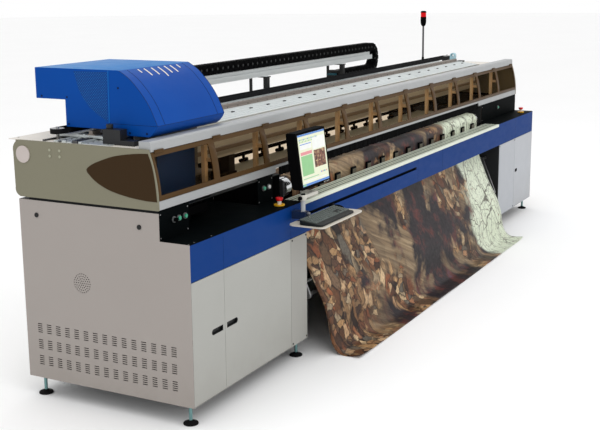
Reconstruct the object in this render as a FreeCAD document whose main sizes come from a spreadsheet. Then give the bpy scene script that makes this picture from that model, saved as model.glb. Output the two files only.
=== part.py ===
"""Roll-fed wide-format UV printer: two cabinets, a print housing with a tinted canopy, a print carriage
on a beam, its media path and its controls.

X runs along the machine, Y towards its rear and Z up. The origin is on the floor under the middle of the
machine's bounding box. Y values are written from the cabinets' front plane, and front_y moves them all.
"""
import FreeCAD, Part
import os
import re
from math import cos, degrees, pi, radians, sin
import Sketcher

V = FreeCAD.Vector
R = FreeCAD.Rotation

DIMENSIONS = {
    # whole machine
    "front_y": (-387.5, "cabinet front plane, from the origin"),
    "half_length": (2850, "half of the length over the cabinets"),
    "inner_left": (-1670, "inner side of the left cabinet"),
    "inner_right": (1870, "inner side of the right cabinet"),
    "cabinet_depth": (1024, "cabinet depth"),
    "cabinet_bottom": (105, "underside of the cabinets"),
    "cabinet_top": (1048, "top of the cabinets"),
    "ledge_top": (914, "work ledge height"),
    "recess_wall": (169, "rear wall of the control recess"),
    "wall": (3, "sheet metal thickness"),
    # doors and fixed front panels
    "door_bottom": (110, "lower edge of doors"),
    "door_top": (727, "upper edge of doors"),
    "door_depth": (18, "folded door depth"),
    "door_gap": (2, "gap around doors"),
    "door_pivot": (4, "door pivot, from the front"),
    "narrow_seam": (-2555, "seam between the two left doors"),
    "fixed_seam": (-1862, "seam between the wide door and the fixed panel"),
    "right_seam": (2323, "seam between the right fixed panel and the right door"),
    "pull_bottom": (420, "lower edge of a recessed pull"),
    "pull_height": (30, "height of a recessed pull"),
    # end panels
    "vent_start": (92, "first vent column"),
    "vent_pitch": (59.2, "pitch of the vent columns"),
    "vent_width": (30, "vent slot length"),
    "vent_slot": (5, "vent slot height"),
    "vent_step": (11, "pitch of the slots in one vent"),
    "vent_rows_pitch": (86.5, "pitch of the vent rows"),
    "vent_bottom": (178, "lowest slot"),
    "fan_y": (646, "fan centre, from the front"),
    "fan_z": (650, "fan centre height"),
    "fan_hole": (55, "fan opening radius"),
    "grille_pitch": (12, "pitch of the rings of holes in the fan grille"),
    "grille_hole": (3.2, "radius of a hole in the fan grille"),
    "lock_radius": (12, "panel lock radius"),
    "lock_z": (973, "panel lock height"),
    # feet
    "foot_radius": (37.5, "levelling pad radius"),
    "foot_pad": (9, "levelling pad height"),
    "stud_radius": (9, "levelling stud radius"),
    "nut_radius": (17, "lock nut corner radius"),
    "foot_front": (56, "front feet, from the front"),
    "foot_rear": (965, "rear feet, from the front"),
    # front beam and table profile
    "fascia_bottom": (730, "underside of the front beam"),
    "fascia_top": (896, "front beam's top flange"),
    "fascia_depth": (112, "front beam's depth"),
    "slot_left": (-1660, "left end of the cable slot"),
    "slot_right": (-18, "right end of the cable slot"),
    "slot_bottom": (821, "lower edge of the cable slot"),
    "slot_height": (19, "height of the cable slot"),
    "table_left": (-1722, "left end of the table profile"),
    "table_right": (1820, "right end of the table profile"),
    "table_rear": (113, "rear edge of the table profile"),
    "groove": (5, "table groove width"),
    "bay_left": (-2595, "left side of the deep bay"),
    "bay_right": (-1920, "right side of the deep bay"),
    "panel_right": (-1756, "right end of the inner control panel"),
    "right_panel_left": (1883, "left end of the right control panel"),
    "bay_rear": (450, "rear wall of the deep bay"),
    "channel_front": (270, "front of the channel that the print heads pass through"),
    "channel_floor": (1005, "lowest point of that channel in the cabinet sides"),
    # housing
    "housing_bottom": (1062, "underside of the housing ends"),
    "housing_top": (1350, "top of the housing ends"),
    "end_plate": (12, "housing end thickness"),
    "canopy_bottom": (1107, "lower edge of the canopy"),
    "canopy_top": (1334, "upper edge of the canopy"),
    "canopy_middle": (1225, "height where the canopy's outline is measured between its edges"),
    "front_low": (165.5, "canopy outline at its lower edge"),
    "front_middle": (178.5, "canopy outline at its middle"),
    "front_high": (208, "canopy outline at its upper edge"),
    "canopy_wall": (6, "canopy frame thickness"),
    "pane_wall": (3, "canopy pane thickness"),
    "window_pitch": (518.18, "pitch of the canopy windows"),
    "window_bar": (56, "bar between two windows"),
    "window_bottom": (1131, "lower edge of the windows"),
    "window_top": (1312, "upper edge of the windows"),
    "canopy_hinge_y": (200.5, "canopy hinge, from the front"),
    "canopy_hinge_z": (1341, "canopy hinge height"),
    "trim_front": (205, "front of the top trim"),
    "trim_rear": (272, "rear of the top trim"),
    "trim_bottom": (1337, "underside of the top trim"),
    "trim_top": (1385, "top of the top trim"),
    # beam, rails and belt
    "beam_front": (443, "front of the print beam"),
    "beam_rear": (860, "rear of the print beam"),
    "beam_bottom": (1150, "underside of the print beam"),
    "beam_top": (1372, "top of the print beam"),
    "beam_left": (-2715, "left end of the print beam"),
    "beam_right": (2560, "right end of the print beam"),
    "beam_wall": (12, "print beam wall"),
    "slope_rear": (615, "rear edge of the beam's sloped shoulder"),
    "rail_y": (656, "upper rail's middle"),
    "rail_width": (22, "linear rail width"),
    "rail_z": (1201, "front rail's middle height"),
    "pulley_x": (2770, "belt pulley centre, each side"),
    "pulley_y": (818, "belt pulley centre, from the front"),
    "pulley_radius": (34, "belt pulley radius"),
    "belt_inside": (34.4, "radius of the belt's inner face around a pulley"),
    "belt_bottom": (1382, "lower edge of the belt"),
    "belt_width": (25, "belt width"),
    "belt_thick": (3, "belt thickness"),
    # energy chain
    "chain_front": (905, "front side of the chain"),
    "chain_width": (80, "chain width"),
    "chain_z": (1485, "chain bend centre height"),
    "chain_outer": (121, "chain bend outer radius"),
    "chain_inner": (57, "chain bend inner radius"),
    "chain_bend_x": (1250, "chain bend centre"),
    "chain_fixed_x": (640, "fixed end of the chain"),
    "tray_bottom": (1482, "underside of the chain tray"),
    "tray_top": (1516, "upper edge of the chain tray's sides"),
    "tray_left": (-1990, "left end of the chain tray"),
    "tray_right": (1210, "right end of the chain tray"),
    # media path
    "media_left": (-1600, "left edge of the media"),
    "media_right": (1640, "right edge of the media"),
    "media": (1, "media thickness"),
    "roller_radius": (56, "front and feed roller radius"),
    "roller_y": (187, "front roller centre"),
    "feed_y": (650, "feed roller centre"),
    "roller_z": (962, "height of both roller centres"),
    "roller_end": (1660, "half length of both rollers"),
    "shaft": (15, "roller shaft radius"),
    "running": (0.05, "running clearance of the shafts"),
    "roll_y": (816, "media roll centre"),
    "roll_z": (430, "media roll height"),
    "roll_radius": (108, "media roll radius"),
    "platen_z": (1017.5, "top of the platen"),
    # carriage
    "cover_left": (-2720, "left side of the carriage cover"),
    "cover_right": (-2115, "right side of the carriage cover"),
    "cover_wall": (4, "carriage cover wall"),
    "head_bottom": (1022, "nozzle plane"),
    "head_pitch": (42.5, "print head pitch"),
    "head_left": (-2590, "left side of the first print head"),
    # controls
    "button_z": (998, "centre height of the buttons"),
    "button_radius": (10, "button radius"),
    "stop_radius": (20, "emergency stop radius"),
    # operator station
    "pole_x": (-1827, "monitor pole"),
    "pole_y": (-60, "monitor pole, from the front"),
    "pole_radius": (12.5, "monitor pole radius"),
    "tray_z": (822, "underside of the keyboard tray"),
    "screen_left": (-1845, "left side of the monitor"),
    "screen_right": (-1498, "right side of the monitor"),
    "tower_x": (2310, "signal tower"),
    "tower_y": (880, "signal tower, from the front"),
    "tower_case": (1698, "underside of the signal tower's housing"),
    "tower_lens": (1781, "underside of the signal tower's lens"),
    "tower_cap": (1819, "underside of the signal tower's cap"),
}

doc = FreeCAD.newDocument("uv_printer")
dims = doc.addObject("Spreadsheet::Sheet", "dims")
for line, (alias, (size, meaning)) in enumerate(DIMENSIONS.items(), start=1):
    dims.set(f"A{line}", meaning)
    dims.set(f"B{line}", str(size))
    dims.setAlias(f"B{line}", alias)
doc.recompute()


# ---- helpers -------------------------------------------------------------------------------------------
def bind(text):
    """An expression with each of the sheet's words written as a reference to the sheet."""
    return re.sub(r"[a-z]\w*", lambda word: f"dims.{word[0]}" if word[0] in DIMENSIONS else word[0], str(text))


def number(text):
    """The present value of an expression."""
    return float(dims.evalExpression(bind(text)))


def place(piece, x, y, z, turn=None):
    """Put a piece at x, y, z, with y from the cabinets' front plane."""
    piece.Placement = FreeCAD.Placement(V(0, 0, 0), turn or R())
    for key, at in (("x", x), ("y", f"front_y + ({y})"), ("z", z)):
        piece.setExpression(f"Placement.Base.{key}", bind(at))
    return piece


def box(x, y, z):
    """A block between the low and high ends given for each axis."""
    piece = doc.addObject("Part::Box", "block")
    for key, (low, high) in (("Length", x), ("Width", y), ("Height", z)):
        piece.setExpression(key, bind(f"({high}) - ({low})"))
    return place(piece, x[0], y[0], z[0])


TURNS = {"X": R(V(0, 1, 0), 90), "Y": R(V(1, 0, 0), -90), "Z": R()}


def rod(axis, start, length, radius):
    """A cylinder that runs along one axis from its start point."""
    piece = doc.addObject("Part::Cylinder", "rod")
    piece.setExpression("Radius", bind(radius))
    piece.setExpression("Height", bind(length))
    return place(piece, *start, TURNS[axis])


def cone(start, length, low_radius, high_radius):
    """An upright cone."""
    piece = doc.addObject("Part::Cone", "cone")
    piece.setExpression("Radius1", bind(low_radius))
    piece.setExpression("Radius2", bind(high_radius))
    piece.setExpression("Height", bind(length))
    return place(piece, *start)


def hexagon(start, length, radius):
    """An upright six-sided nut blank."""
    piece = doc.addObject("Part::Prism", "hexagon")
    piece.Polygon = 6
    piece.setExpression("Circumradius", bind(radius))
    piece.setExpression("Height", bind(length))
    return place(piece, *start)


def group(pieces):
    """Separate solids kept together."""
    whole = doc.addObject("Part::Compound", "set")
    whole.Links = pieces
    return whole


def cut(base, *tools):
    piece = doc.addObject("Part::Cut", "cut")
    piece.Base = base
    piece.Tool = tools[0] if len(tools) == 1 else group(list(tools))
    return piece


def fuse(*pieces):
    piece = doc.addObject("Part::MultiFuse", "joined")
    piece.Shapes = list(pieces)
    piece.Refine = True
    return piece


def common(base, tool):
    piece = doc.addObject("Part::Common", "shared")
    piece.Base = base
    piece.Tool = tool
    return piece


def plane(body, role):
    return next(item for item in body.Origin.OriginFeatures if item.Role == role)


def draw(sketch, outline):
    """Add a closed outline. Each entry is (u, v), or (u, v, (via_u, via_v)) for an arc that ends at u, v."""
    first = sketch.GeometryCount
    points = [V(number(entry[0]), number(entry[1]), 0) for entry in outline]
    for index, entry in enumerate(outline):
        start = points[index - 1]
        if len(entry) == 2:
            sketch.addGeometry(Part.LineSegment(start, points[index]))
        else:
            via = V(number(entry[2][0]), number(entry[2][1]), 0)
            stop = points[index]
            if (via - start).cross(stop - via).z < 0:
                start, stop = stop, start
            sketch.addGeometry(Part.Arc(start, via, stop))
    for index, entry in enumerate(outline):
        edge = first + index
        following = first + (index + 1) % len(outline)
        ends_first = ends(sketch, edge, points[index])
        starts_next = ends(sketch, following, points[index])
        sketch.addConstraint(Sketcher.Constraint("Coincident", edge, ends_first, following, starts_next))
        for kind, at in (("DistanceX", entry[0]), ("DistanceY", entry[1])):
            key = sketch.addConstraint(Sketcher.Constraint(kind, -1, 1, edge, ends_first, number(at)))
            sketch.setExpression(f"Constraints[{key}]", bind(f"({at}) * 1"))
        if len(entry) == 3:
            hold_centre(sketch, edge)


def hold_centre(sketch, edge):
    """Fix the one freedom that an arc between two fixed ends has left: its centre along their bisector."""
    arc = sketch.Geometry[edge]
    chord = arc.EndPoint - arc.StartPoint
    kind, at = ("DistanceX", arc.Center.x) if abs(chord.y) > abs(chord.x) else ("DistanceY", arc.Center.y)
    sketch.addConstraint(Sketcher.Constraint(kind, -1, 1, edge, 3, at))


def ends(sketch, edge, point):
    """Which end of an edge lies on a point: 1 for its start, 2 for its end."""
    curve = sketch.Geometry[edge]
    return 1 if (curve.StartPoint - point).Length < (curve.EndPoint - point).Length else 2


def prism(outline, x, holes=()):
    """A side outline (y from the front, z) drawn on the YZ plane and padded along X."""
    body = doc.addObject("PartDesign::Body", "profile")
    sketch = body.newObject("Sketcher::SketchObject", "outline")
    sketch.AttachmentSupport = [(plane(body, "YZ_Plane"), "")]
    sketch.MapMode = "FlatFace"
    for loop in (outline, *holes):
        draw(sketch, loop)
    pad = body.newObject("PartDesign::Pad", "length")
    pad.Profile = sketch
    pad.setExpression("Length", bind(f"({x[1]}) - ({x[0]})"))
    body.Tip = pad
    return place(body, x[0], 0, 0)


def plate(outline, z):
    """A plan outline (x, y from the front) drawn on the XY plane and padded upwards."""
    body = doc.addObject("PartDesign::Body", "plate")
    sketch = body.newObject("Sketcher::SketchObject", "outline")
    sketch.AttachmentSupport = [(plane(body, "XY_Plane"), "")]
    sketch.MapMode = "FlatFace"
    draw(sketch, outline)
    pad = body.newObject("PartDesign::Pad", "height")
    pad.Profile = sketch
    pad.setExpression("Length", bind(f"({z[1]}) - ({z[0]})"))
    body.Tip = pad
    return place(body, 0, 0, z[0])


def pipe(x, y, z, wall):
    """A rectangular tube along X."""
    inside = box(x, (f"{y[0]} + {wall}", f"{y[1]} - {wall}"), (f"{z[0]} + {wall}", f"{z[1]} - {wall}"))
    return cut(box(x, y, z), inside)


nodes = []


def node(label, *pieces):
    """Name a sub-part. Several pieces stay separate solids of one sub-part."""
    part = pieces[0] if len(pieces) == 1 else group(list(pieces))
    part.Label = label
    nodes.append(part)
    return part


# ---- cabinets ------------------------------------------------------------------------------------------
def cabinet_shell():
    """Floor, back, top and inner side sheets, door stiles and fixed front panels of both cabinets."""
    left = ("-half_length + wall", "inner_left")
    right = ("inner_right", "half_length - wall")
    upper_side = [
        ("recess_wall + wall", "fascia_bottom"), ("cabinet_depth - wall", "fascia_bottom"),
        ("cabinet_depth - wall", "cabinet_top - wall"), ("bay_rear + wall", "cabinet_top - wall"),
        ("bay_rear + wall", "channel_floor"), ("channel_front", "channel_floor"),
        ("channel_front", "cabinet_top - wall"), ("recess_wall + wall", "cabinet_top - wall"),
    ]
    sheets = []
    for thickness in (("inner_left - wall", "inner_left"), ("inner_right", "inner_right + wall")):
        sheets.append(prism(upper_side, thickness))
        sheets.append(box(thickness, ("wall + 1", "cabinet_depth - wall"), ("cabinet_bottom", "fascia_bottom")))
    for low, high, inner_low, inner_high in (
        (left[0], left[1], left[0], "inner_left - wall"),
        (right[0], right[1], "inner_right + wall", right[1]),
    ):
        span = (inner_low, inner_high)
        sheets.append(box(span, (0, "cabinet_depth - wall"), ("cabinet_bottom", "cabinet_bottom + wall")))
        sheets.append(box((low, high), ("cabinet_depth - wall", "cabinet_depth"),
                          ("cabinet_bottom", "cabinet_top")))
        for top in (("recess_wall + wall", "channel_front"), ("bay_rear + wall", "cabinet_depth - wall")):
            sheets.append(box((low, high), top, ("cabinet_top - wall", "cabinet_top")))
    stile_y = ("door_depth + wall", "door_depth + 20")
    stile_z = ("cabinet_bottom + wall", "fascia_bottom")
    for middle in ("-half_length + 14", "narrow_seam", "fixed_seam", "right_seam", "half_length - 14"):
        sheets.append(box((f"{middle} - 10", f"{middle} + 10"), stile_y, stile_z))
    panel_z = ("cabinet_bottom + wall", "door_top")
    sheets.append(box(("fixed_seam + door_gap", "inner_left - 4"), (0, "wall"), panel_z))
    sheets.append(box(("inner_right + 4", "right_seam - door_gap"), (0, "wall"), panel_z))
    for low in ("-half_length + 5", "half_length - 17"):
        sheets.append(box((low, f"{low} + 12"), (172, 960), ("cabinet_top", "housing_bottom")))
    for low in ("-1740", "1940"):
        sheets.append(box((low, f"{low} + 60"), (460, 960), ("cabinet_top", "beam_bottom")))
    node("cabinet_shell", *sheets, *base_beams())


def end_panel(x, fan_x):
    """An outer side sheet with three rows of vents, a fan opening with its grille, and the fan's frame."""
    outline = [
        (0, "cabinet_bottom"), ("cabinet_depth", "cabinet_bottom"), ("cabinet_depth", "cabinet_top"),
        ("recess_wall", "cabinet_top"), ("recess_wall", "ledge_top"), (0, "ledge_top"),
    ]
    sheet = prism(outline, (x, f"{x} + wall"))
    vents = sheet.newObject("Sketcher::SketchObject", "vents")
    vents.AttachmentSupport = [(plane(sheet, "YZ_Plane"), "")]
    vents.MapMode = "FlatFace"
    for row in range(3):
        for slot in range(5):
            low = f"vent_bottom + {row} * vent_rows_pitch + {slot} * vent_step"
            draw(vents, [
                ("vent_start", low), ("vent_start + vent_width", low),
                ("vent_start + vent_width", f"{low} + vent_slot"), ("vent_start", f"{low} + vent_slot"),
            ])
    pocket = sheet.newObject("PartDesign::Pocket", "vent_pocket")
    pocket.Profile = vents
    pocket.Type = "ThroughAll"
    pocket.Midplane = True
    columns = sheet.newObject("PartDesign::LinearPattern", "vent_columns")
    columns.Originals = [pocket]
    columns.Direction = (vents, ["H_Axis"])
    columns.Occurrences = 15
    columns.setExpression("Length", bind("vent_pitch * 14"))
    sheet.Tip = columns
    pieces = [cut(sheet, rod("X", (f"{x} - 5", "fan_y", "fan_z"), "wall + 10", "fan_hole"))]
    disc = rod("X", (f"{x} + 0.5", "fan_y", "fan_z"), 2, "fan_hole")
    holes = []
    for ring in range(5):
        count = max(1, 6 * ring)
        for step in range(count):
            angle = 2 * pi * step / count
            hole_y = f"fan_y + {ring} * grille_pitch * {cos(angle)}"
            hole_z = f"fan_z + {ring} * grille_pitch * {sin(angle)}"
            holes.append(rod("X", (f"{x} - 1", hole_y, hole_z), 5, "grille_hole"))
    pieces.append(cut(disc, *holes))
    frame = box((fan_x, f"{fan_x} + 24"), ("fan_y - 60", "fan_y + 60"), ("fan_z - 60", "fan_z + 60"))
    pieces.append(cut(frame, rod("X", (f"{fan_x} - 5", "fan_y", "fan_z"), 40, "fan_hole - 1")))
    return pieces


def end_panels():
    pieces = end_panel("-half_length", "-half_length + wall")
    pieces += end_panel("half_length - wall", "half_length - wall - 24")
    for lock_x in ("-half_length - 4", "half_length"):
        for lock_y in (283, 914):
            pieces.append(rod("X", (lock_x, lock_y, "lock_z"), 4, "lock_radius"))
    node("end_panels", *pieces)


def levelling_feet():
    """Eight adjustable feet, each a pad, a cone, a threaded stud and its lock nut in one piece."""
    feet = []
    for x in ("-2800", "-1710", "1910", "2800"):
        for y in ("foot_front", "foot_rear"):
            feet.append(fuse(
                rod("Z", (x, y, 0), "foot_pad", "foot_radius"),
                cone((x, y, "foot_pad"), 9, "foot_radius * 0.8", "stud_radius * 1.5"),
                rod("Z", (x, y, "foot_pad"), "cabinet_bottom - foot_pad", "stud_radius"),
                hexagon((x, y, "cabinet_bottom - 14"), 14, "nut_radius"),
            ))
    node("levelling_feet", *feet)


def pull_block(span, round_left, inset, y):
    """A recessed pull's block: square towards the seam and round at its other end."""
    radius = f"(pull_height / 2 - {inset})"
    middle_z = "pull_bottom + pull_height / 2"
    left, right = f"{span[0]} + {inset}", f"{span[1]} - {inset}"
    centre = f"{left} + {radius}" if round_left else f"{right} - {radius}"
    straight = (centre, right) if round_left else (left, centre)
    return fuse(
        box(straight, y, (f"{middle_z} - {radius}", f"{middle_z} + {radius}")),
        rod("Y", (centre, y[0], middle_z), f"({y[1]}) - ({y[0]})", radius),
    )


def door(label, left, right, hinge_x, pull):
    """A folded door with a recessed pull and a pivot washer above and below it on the hinge axis."""
    leaf = box((left, right), (0, "door_depth"), ("door_bottom", "door_top"))
    hollow = box((f"{left} + wall", f"{right} - wall"), ("wall", "door_depth + 1"),
                 ("door_bottom + wall", "door_top - wall"))
    round_left = label == "narrow_door"
    opening = pull_block(pull, round_left, 0, (-1, "wall + 1"))
    cup = cut(pull_block(pull, round_left, 0, (0.5, 16)), pull_block(pull, round_left, 3, (-1, 13)))
    washers = [rod("Z", (hinge_x, "door_pivot", low), 1.6, 3) for low in ("door_bottom - 1.6", "door_top")]
    node(label, cut(leaf, hollow, opening), cup, *washers)


def doors():
    door("narrow_door", "-half_length + wall + door_gap", "narrow_seam - door_gap / 2",
         "-half_length + wall + door_gap + 5", ("-2677", "-2573"))
    door("wide_door", "narrow_seam + door_gap / 2", "fixed_seam - door_gap / 2",
         "fixed_seam - door_gap / 2 - 5", ("-2537", "-2433"))
    door("right_door", "right_seam + door_gap / 2", "half_length - wall - door_gap",
         "half_length - wall - door_gap - 5", ("2346", "2410"))


def base_beams():
    """Square tubes that tie the cabinets together, and the stepped foot profile beside the left one."""
    span = ("inner_left", "inner_right")
    stub = [(300, 110), (420, 110), (420, 190), (380, 190), (380, 250), (340, 250), (340, 310), (300, 310)]
    return [
        pipe(span, ("560", "640"), ("112", "192"), 4),
        pipe(span, ("300", "380"), ("780", "860"), 4),
        pipe(span, ("520", "600"), ("780", "860"), 4),
        prism(stub, ("inner_left", "inner_left + 80")),
    ]


def front_fascia():
    """The front beam's face with its cable slot, the two flanges behind it and the pieces beside the table."""
    span = ("-half_length + wall", "half_length - wall")
    face = box(span, (0, "wall"), ("fascia_bottom", "fascia_top"))
    slot = box(("slot_left", "slot_right"), (-1, "wall + 1"), ("slot_bottom", "slot_bottom + slot_height"))
    beside_z = ("fascia_top", "ledge_top - wall")
    node(
        "front_fascia",
        cut(face, slot),
        box(span, ("wall", 60), ("fascia_bottom", "fascia_bottom + wall")),
        box(span, ("wall", "fascia_depth"), ("fascia_top - wall", "fascia_top")),
        box((span[0], "table_left"), (0, "wall"), beside_z),
        box(("table_right", span[1]), (0, "wall"), beside_z),
    )


def table_profile():
    """The extruded table edge with six grooves in its top and a lip down over the front beam."""
    section = [(-7, "fascia_top - 3"), (-0.5, "fascia_top - 3"), (-0.5, "fascia_top"),
               ("table_rear", "fascia_top"), ("table_rear", "ledge_top")]
    for middle in (100, 84, 68, 52, 36, 20):
        section += [
            (f"{middle} + groove / 2", "ledge_top"), (f"{middle} + groove / 2", "ledge_top - 5"),
            (f"{middle} - groove / 2", "ledge_top - 5"), (f"{middle} - groove / 2", "ledge_top"),
        ]
    section += [(-4, "ledge_top"), (-7, "ledge_top - 3")]
    node("table_profile", prism(section, ("table_left", "table_right")))


def guide_fingers():
    """Round-topped fingers along the rear of the table edge that keep the media clear of it."""
    outline = [(114, 850), (124, 850), (127, 905), (127, 948), (120, 955, (125, 953)), (114, 946, (116, 952))]
    fingers = []
    for index in range(14):
        left = -1512 + 229 * index
        fingers.append(prism(outline, (left, f"{left} + 64")))
    node("guide_fingers", *fingers)


def recess_panels():
    """Dark folded sheets of the control recesses: ledges, rear walls and the walls of the deep bay."""
    ledge_z = ("ledge_top - wall", "ledge_top")
    wall_y = ("recess_wall", "recess_wall + wall")
    wall_z = ("ledge_top", "cabinet_top + 14")
    left_end = "-half_length + wall"
    right_end = "half_length - wall"
    node(
        "recess_panels",
        box((left_end, "table_left"), (0, "recess_wall + wall"), ledge_z),
        box(("table_right", right_end), (0, "recess_wall + wall"), ledge_z),
        box((left_end, "bay_left"), wall_y, wall_z),
        box(("bay_right", "panel_right"), wall_y, wall_z),
        box(("right_panel_left", right_end), wall_y, wall_z),
        box(("bay_left", "bay_right"), ("recess_wall + wall", "bay_rear"), ledge_z),
        box(("bay_left", "bay_right"), ("bay_rear", "bay_rear + wall"), ("ledge_top", "cabinet_top - wall")),
    )


# ---- controls ------------------------------------------------------------------------------------------
GREEN_BUTTONS = {"green_button_1": "-2688", "green_button_2": "-2634", "green_button_3": "-1862",
                 "green_button_4": "2314"}
WHITE_BUTTON = "-1807"
SELECTOR = "-2729"
STOPS = {"left_stop_button": ("-1879", "59"), "right_stop_button": ("2699", "68")}


def controls():
    """Bezels, collars and the pushed or turned parts of every control."""
    bezels = []
    for x in (*GREEN_BUTTONS.values(), WHITE_BUTTON, SELECTOR):
        ring = rod("Y", (x, "recess_wall - 8", "button_z"), 8, "button_radius + 5")
        bezels.append(cut(ring, rod("Y", (x, "recess_wall - 9", "button_z"), 10, "button_radius + 0.4")))
    for x, y in STOPS.values():
        ring = rod("Z", (x, y, "ledge_top"), 9, "stop_radius + 10")
        bezels.append(cut(ring, rod("Z", (x, y, "ledge_top - 1"), 11, "stop_radius - 7.6")))
    node("control_bezels", *bezels)
    for label, x in (*GREEN_BUTTONS.items(), ("white_button", WHITE_BUTTON)):
        node(label, rod("Y", (x, "recess_wall - 13", "button_z"), 9, "button_radius"))
    knob = fuse(
        rod("Y", (SELECTOR, "recess_wall - 13", "button_z"), 9, "button_radius"),
        box((f"{SELECTOR} - 3.5", f"{SELECTOR} + 3.5"), ("recess_wall - 27", "recess_wall - 12"),
            ("button_z - 9.5", "button_z + 9.5")),
    )
    node("selector", knob)
    for label, (x, y) in STOPS.items():
        node(label, fuse(
            rod("Z", (x, y, "ledge_top + 8"), 20, "stop_radius - 8"),
            cone((x, y, "ledge_top + 28"), 8, "stop_radius - 4", "stop_radius"),
            rod("Z", (x, y, "ledge_top + 36"), 9, "stop_radius"),
        ))


# ---- housing -------------------------------------------------------------------------------------------
def housing_ends():
    """Both end plates of the print housing, with rounded rear corners and a leaning front edge."""
    outline = [
        (1005, "housing_bottom"), (1037, 1110, (1030, 1077)), (1039, 1290),
        (989, "housing_top", (1027, 1333)), (214, "housing_top"), ("front_high", "canopy_top"),
        ("front_low", "canopy_bottom", ("front_middle", "canopy_middle")), (166, "housing_bottom"),
    ]
    left = prism(outline, ("-half_length - 5", "-half_length - 5 + end_plate"))
    right = prism(outline, ("half_length + 5 - end_plate", "half_length + 5"))
    node("housing_ends", left, right)
    accent = [(585, 1232, (458, 1160)), (213, 1331, (458, 1300)), (170, 1105, ("front_middle + 4", 1222))]
    node("end_accents", prism(accent, ("-half_length - 7", "-half_length - 5")),
         prism(accent, ("half_length + 5", "half_length + 7")))
    caps = []
    for cap_x, plug_x in (("-half_length - 10", "-half_length - 8"), ("half_length + 5", "half_length + 5")):
        caps.append(rod("X", (cap_x, 974, 1279), 5, 43))
        for y in (740, 802):
            for z in (1281, 1311):
                caps.append(rod("X", (plug_x, y, z), 3, 7))
    node("end_caps", *caps)


def housing_trims():
    """Silver trims along the housing's top and bottom front edges, and the posts between them."""
    top = [
        ("trim_front", "trim_bottom"), ("trim_rear", "trim_bottom"), ("trim_rear", "trim_top"),
        ("trim_front + 12", "trim_top"),
        ("trim_front", "trim_top - 12", ("trim_front + 3.5", "trim_top - 3.5")),
    ]
    span = ("-half_length + 7", "half_length - 7")
    pieces = [
        prism(top, span),
        box((span[0], "table_left"), (167, 189), (1063, 1105)),
        box(("table_right - 27", span[1]), (167, 189), (1063, 1105)),
        box(("table_left", "table_right - 27"), (167, 189), (1090, 1105)),
    ]
    for index in range(1, 11):
        middle = f"{index - 5.5} * window_pitch"
        pieces.append(box((f"{middle} - 14", f"{middle} + 14"), (232, 252), (1105, "trim_bottom")))
        pieces.append(box((f"{middle} - 14", f"{middle} + 14"), (189, 252), (1092, 1105)))
        pieces.append(box((f"{middle} - 5", f"{middle} + 5"), (192, 232), (1216, 1236)))
    node("housing_trims", *pieces)
    node("brush_curtain", box(("inner_left + 2", "table_right - 27"), (172, 178), (1036, 1090)))


def rear_cover():
    """Top sheet behind the beam, rear sheet and the deck sheets at both ends of the beam."""
    span = ("-half_length + 7", "half_length - 7")
    top_z = ("housing_top - wall", "housing_top")
    node(
        "rear_cover",
        box(span, ("beam_rear + 2", 1075), top_z),
        box(span, (1028, 1031), ("housing_bottom + 2", "housing_top - wall")),
        box(("beam_right + 2", span[1]), ("trim_rear", "beam_rear + 2"), top_z),
        box((span[0], "beam_left - 2"), ("trim_rear", "beam_rear + 2"), top_z),
    )


def canopy_section(near, far):
    """The canopy's curved section between two distances behind its outline."""
    return [
        (f"front_low + {near}", "canopy_bottom", (f"front_middle + {near}", "canopy_middle")),
        (f"front_low + {far}", "canopy_bottom"),
        (f"front_high + {far}", "canopy_top", (f"front_middle + {far}", "canopy_middle")),
        (f"front_high + {near}", "canopy_top"),
    ]


def canopy():
    """The hinged canopy: a curved frame with eleven windows, and a curved pane in each."""
    span = ("-half_length + 9", "half_length - 9")
    openings = []
    glass = []
    for index in range(11):
        middle = f"{index - 5} * window_pitch"
        wide = (f"{middle} - (window_pitch - window_bar) / 2", f"{middle} + (window_pitch - window_bar) / 2")
        openings.append(box(wide, (100, 260), ("window_bottom", "window_top")))
        inner = (f"{wide[0]} + 0.5", f"{wide[1]} - 0.5")
        glass.append(box(inner, (100, 260), ("window_bottom + 0.5", "window_top - 0.5")))
    knuckles = []
    for index in range(12):
        middle = f"{index - 5.5} * (window_pitch - 12)"
        wide = (f"{middle} - 35", f"{middle} + 35")
        knuckles.append(rod("X", (wide[0], "canopy_hinge_y", "canopy_hinge_z"), 70, 4))
        knuckles.append(box(wide, ("canopy_hinge_y - 1.5", "canopy_hinge_y + 1.5"),
                            ("canopy_top - 6", "canopy_hinge_z")))
        knuckles.append(box(wide, ("canopy_hinge_y - 1.5", "front_high + 4"), ("canopy_top - 6", "canopy_top")))
    frame = cut(prism(canopy_section(0, "canopy_wall"), span), group(openings))
    node("canopy_frame", fuse(frame, *knuckles))
    pane = prism(canopy_section(1.5, "(pane_wall + 1.5)"), span)
    node("canopy_glazing", common(pane, group(glass)))


# ---- beam, rails, belt and motors ----------------------------------------------------------------------
def print_beam():
    """The hollow print beam, welded from plates, with a sloped front shoulder."""
    span = ("beam_left", "beam_right")
    inner_front = "beam_front + beam_wall"
    inner_rear = "beam_rear - beam_wall"
    slope_foot = "beam_top - 20"
    slope = [
        ("beam_front", f"{slope_foot} - beam_wall"), (inner_front, f"{slope_foot} - beam_wall"),
        ("slope_rear", "beam_top - beam_wall"), ("slope_rear", "beam_top"), ("beam_front", slope_foot),
    ]
    node(
        "print_beam",
        box(span, ("beam_front", "beam_rear"), ("beam_bottom", "beam_bottom + beam_wall")),
        box(span, ("beam_front", inner_front), ("beam_bottom + beam_wall", f"{slope_foot} - beam_wall")),
        prism(slope, span),
        box(span, ("slope_rear", "beam_rear"), ("beam_top - beam_wall", "beam_top")),
        box(span, (inner_rear, "beam_rear"), ("beam_bottom + beam_wall", "beam_top - beam_wall")),
    )


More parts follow.
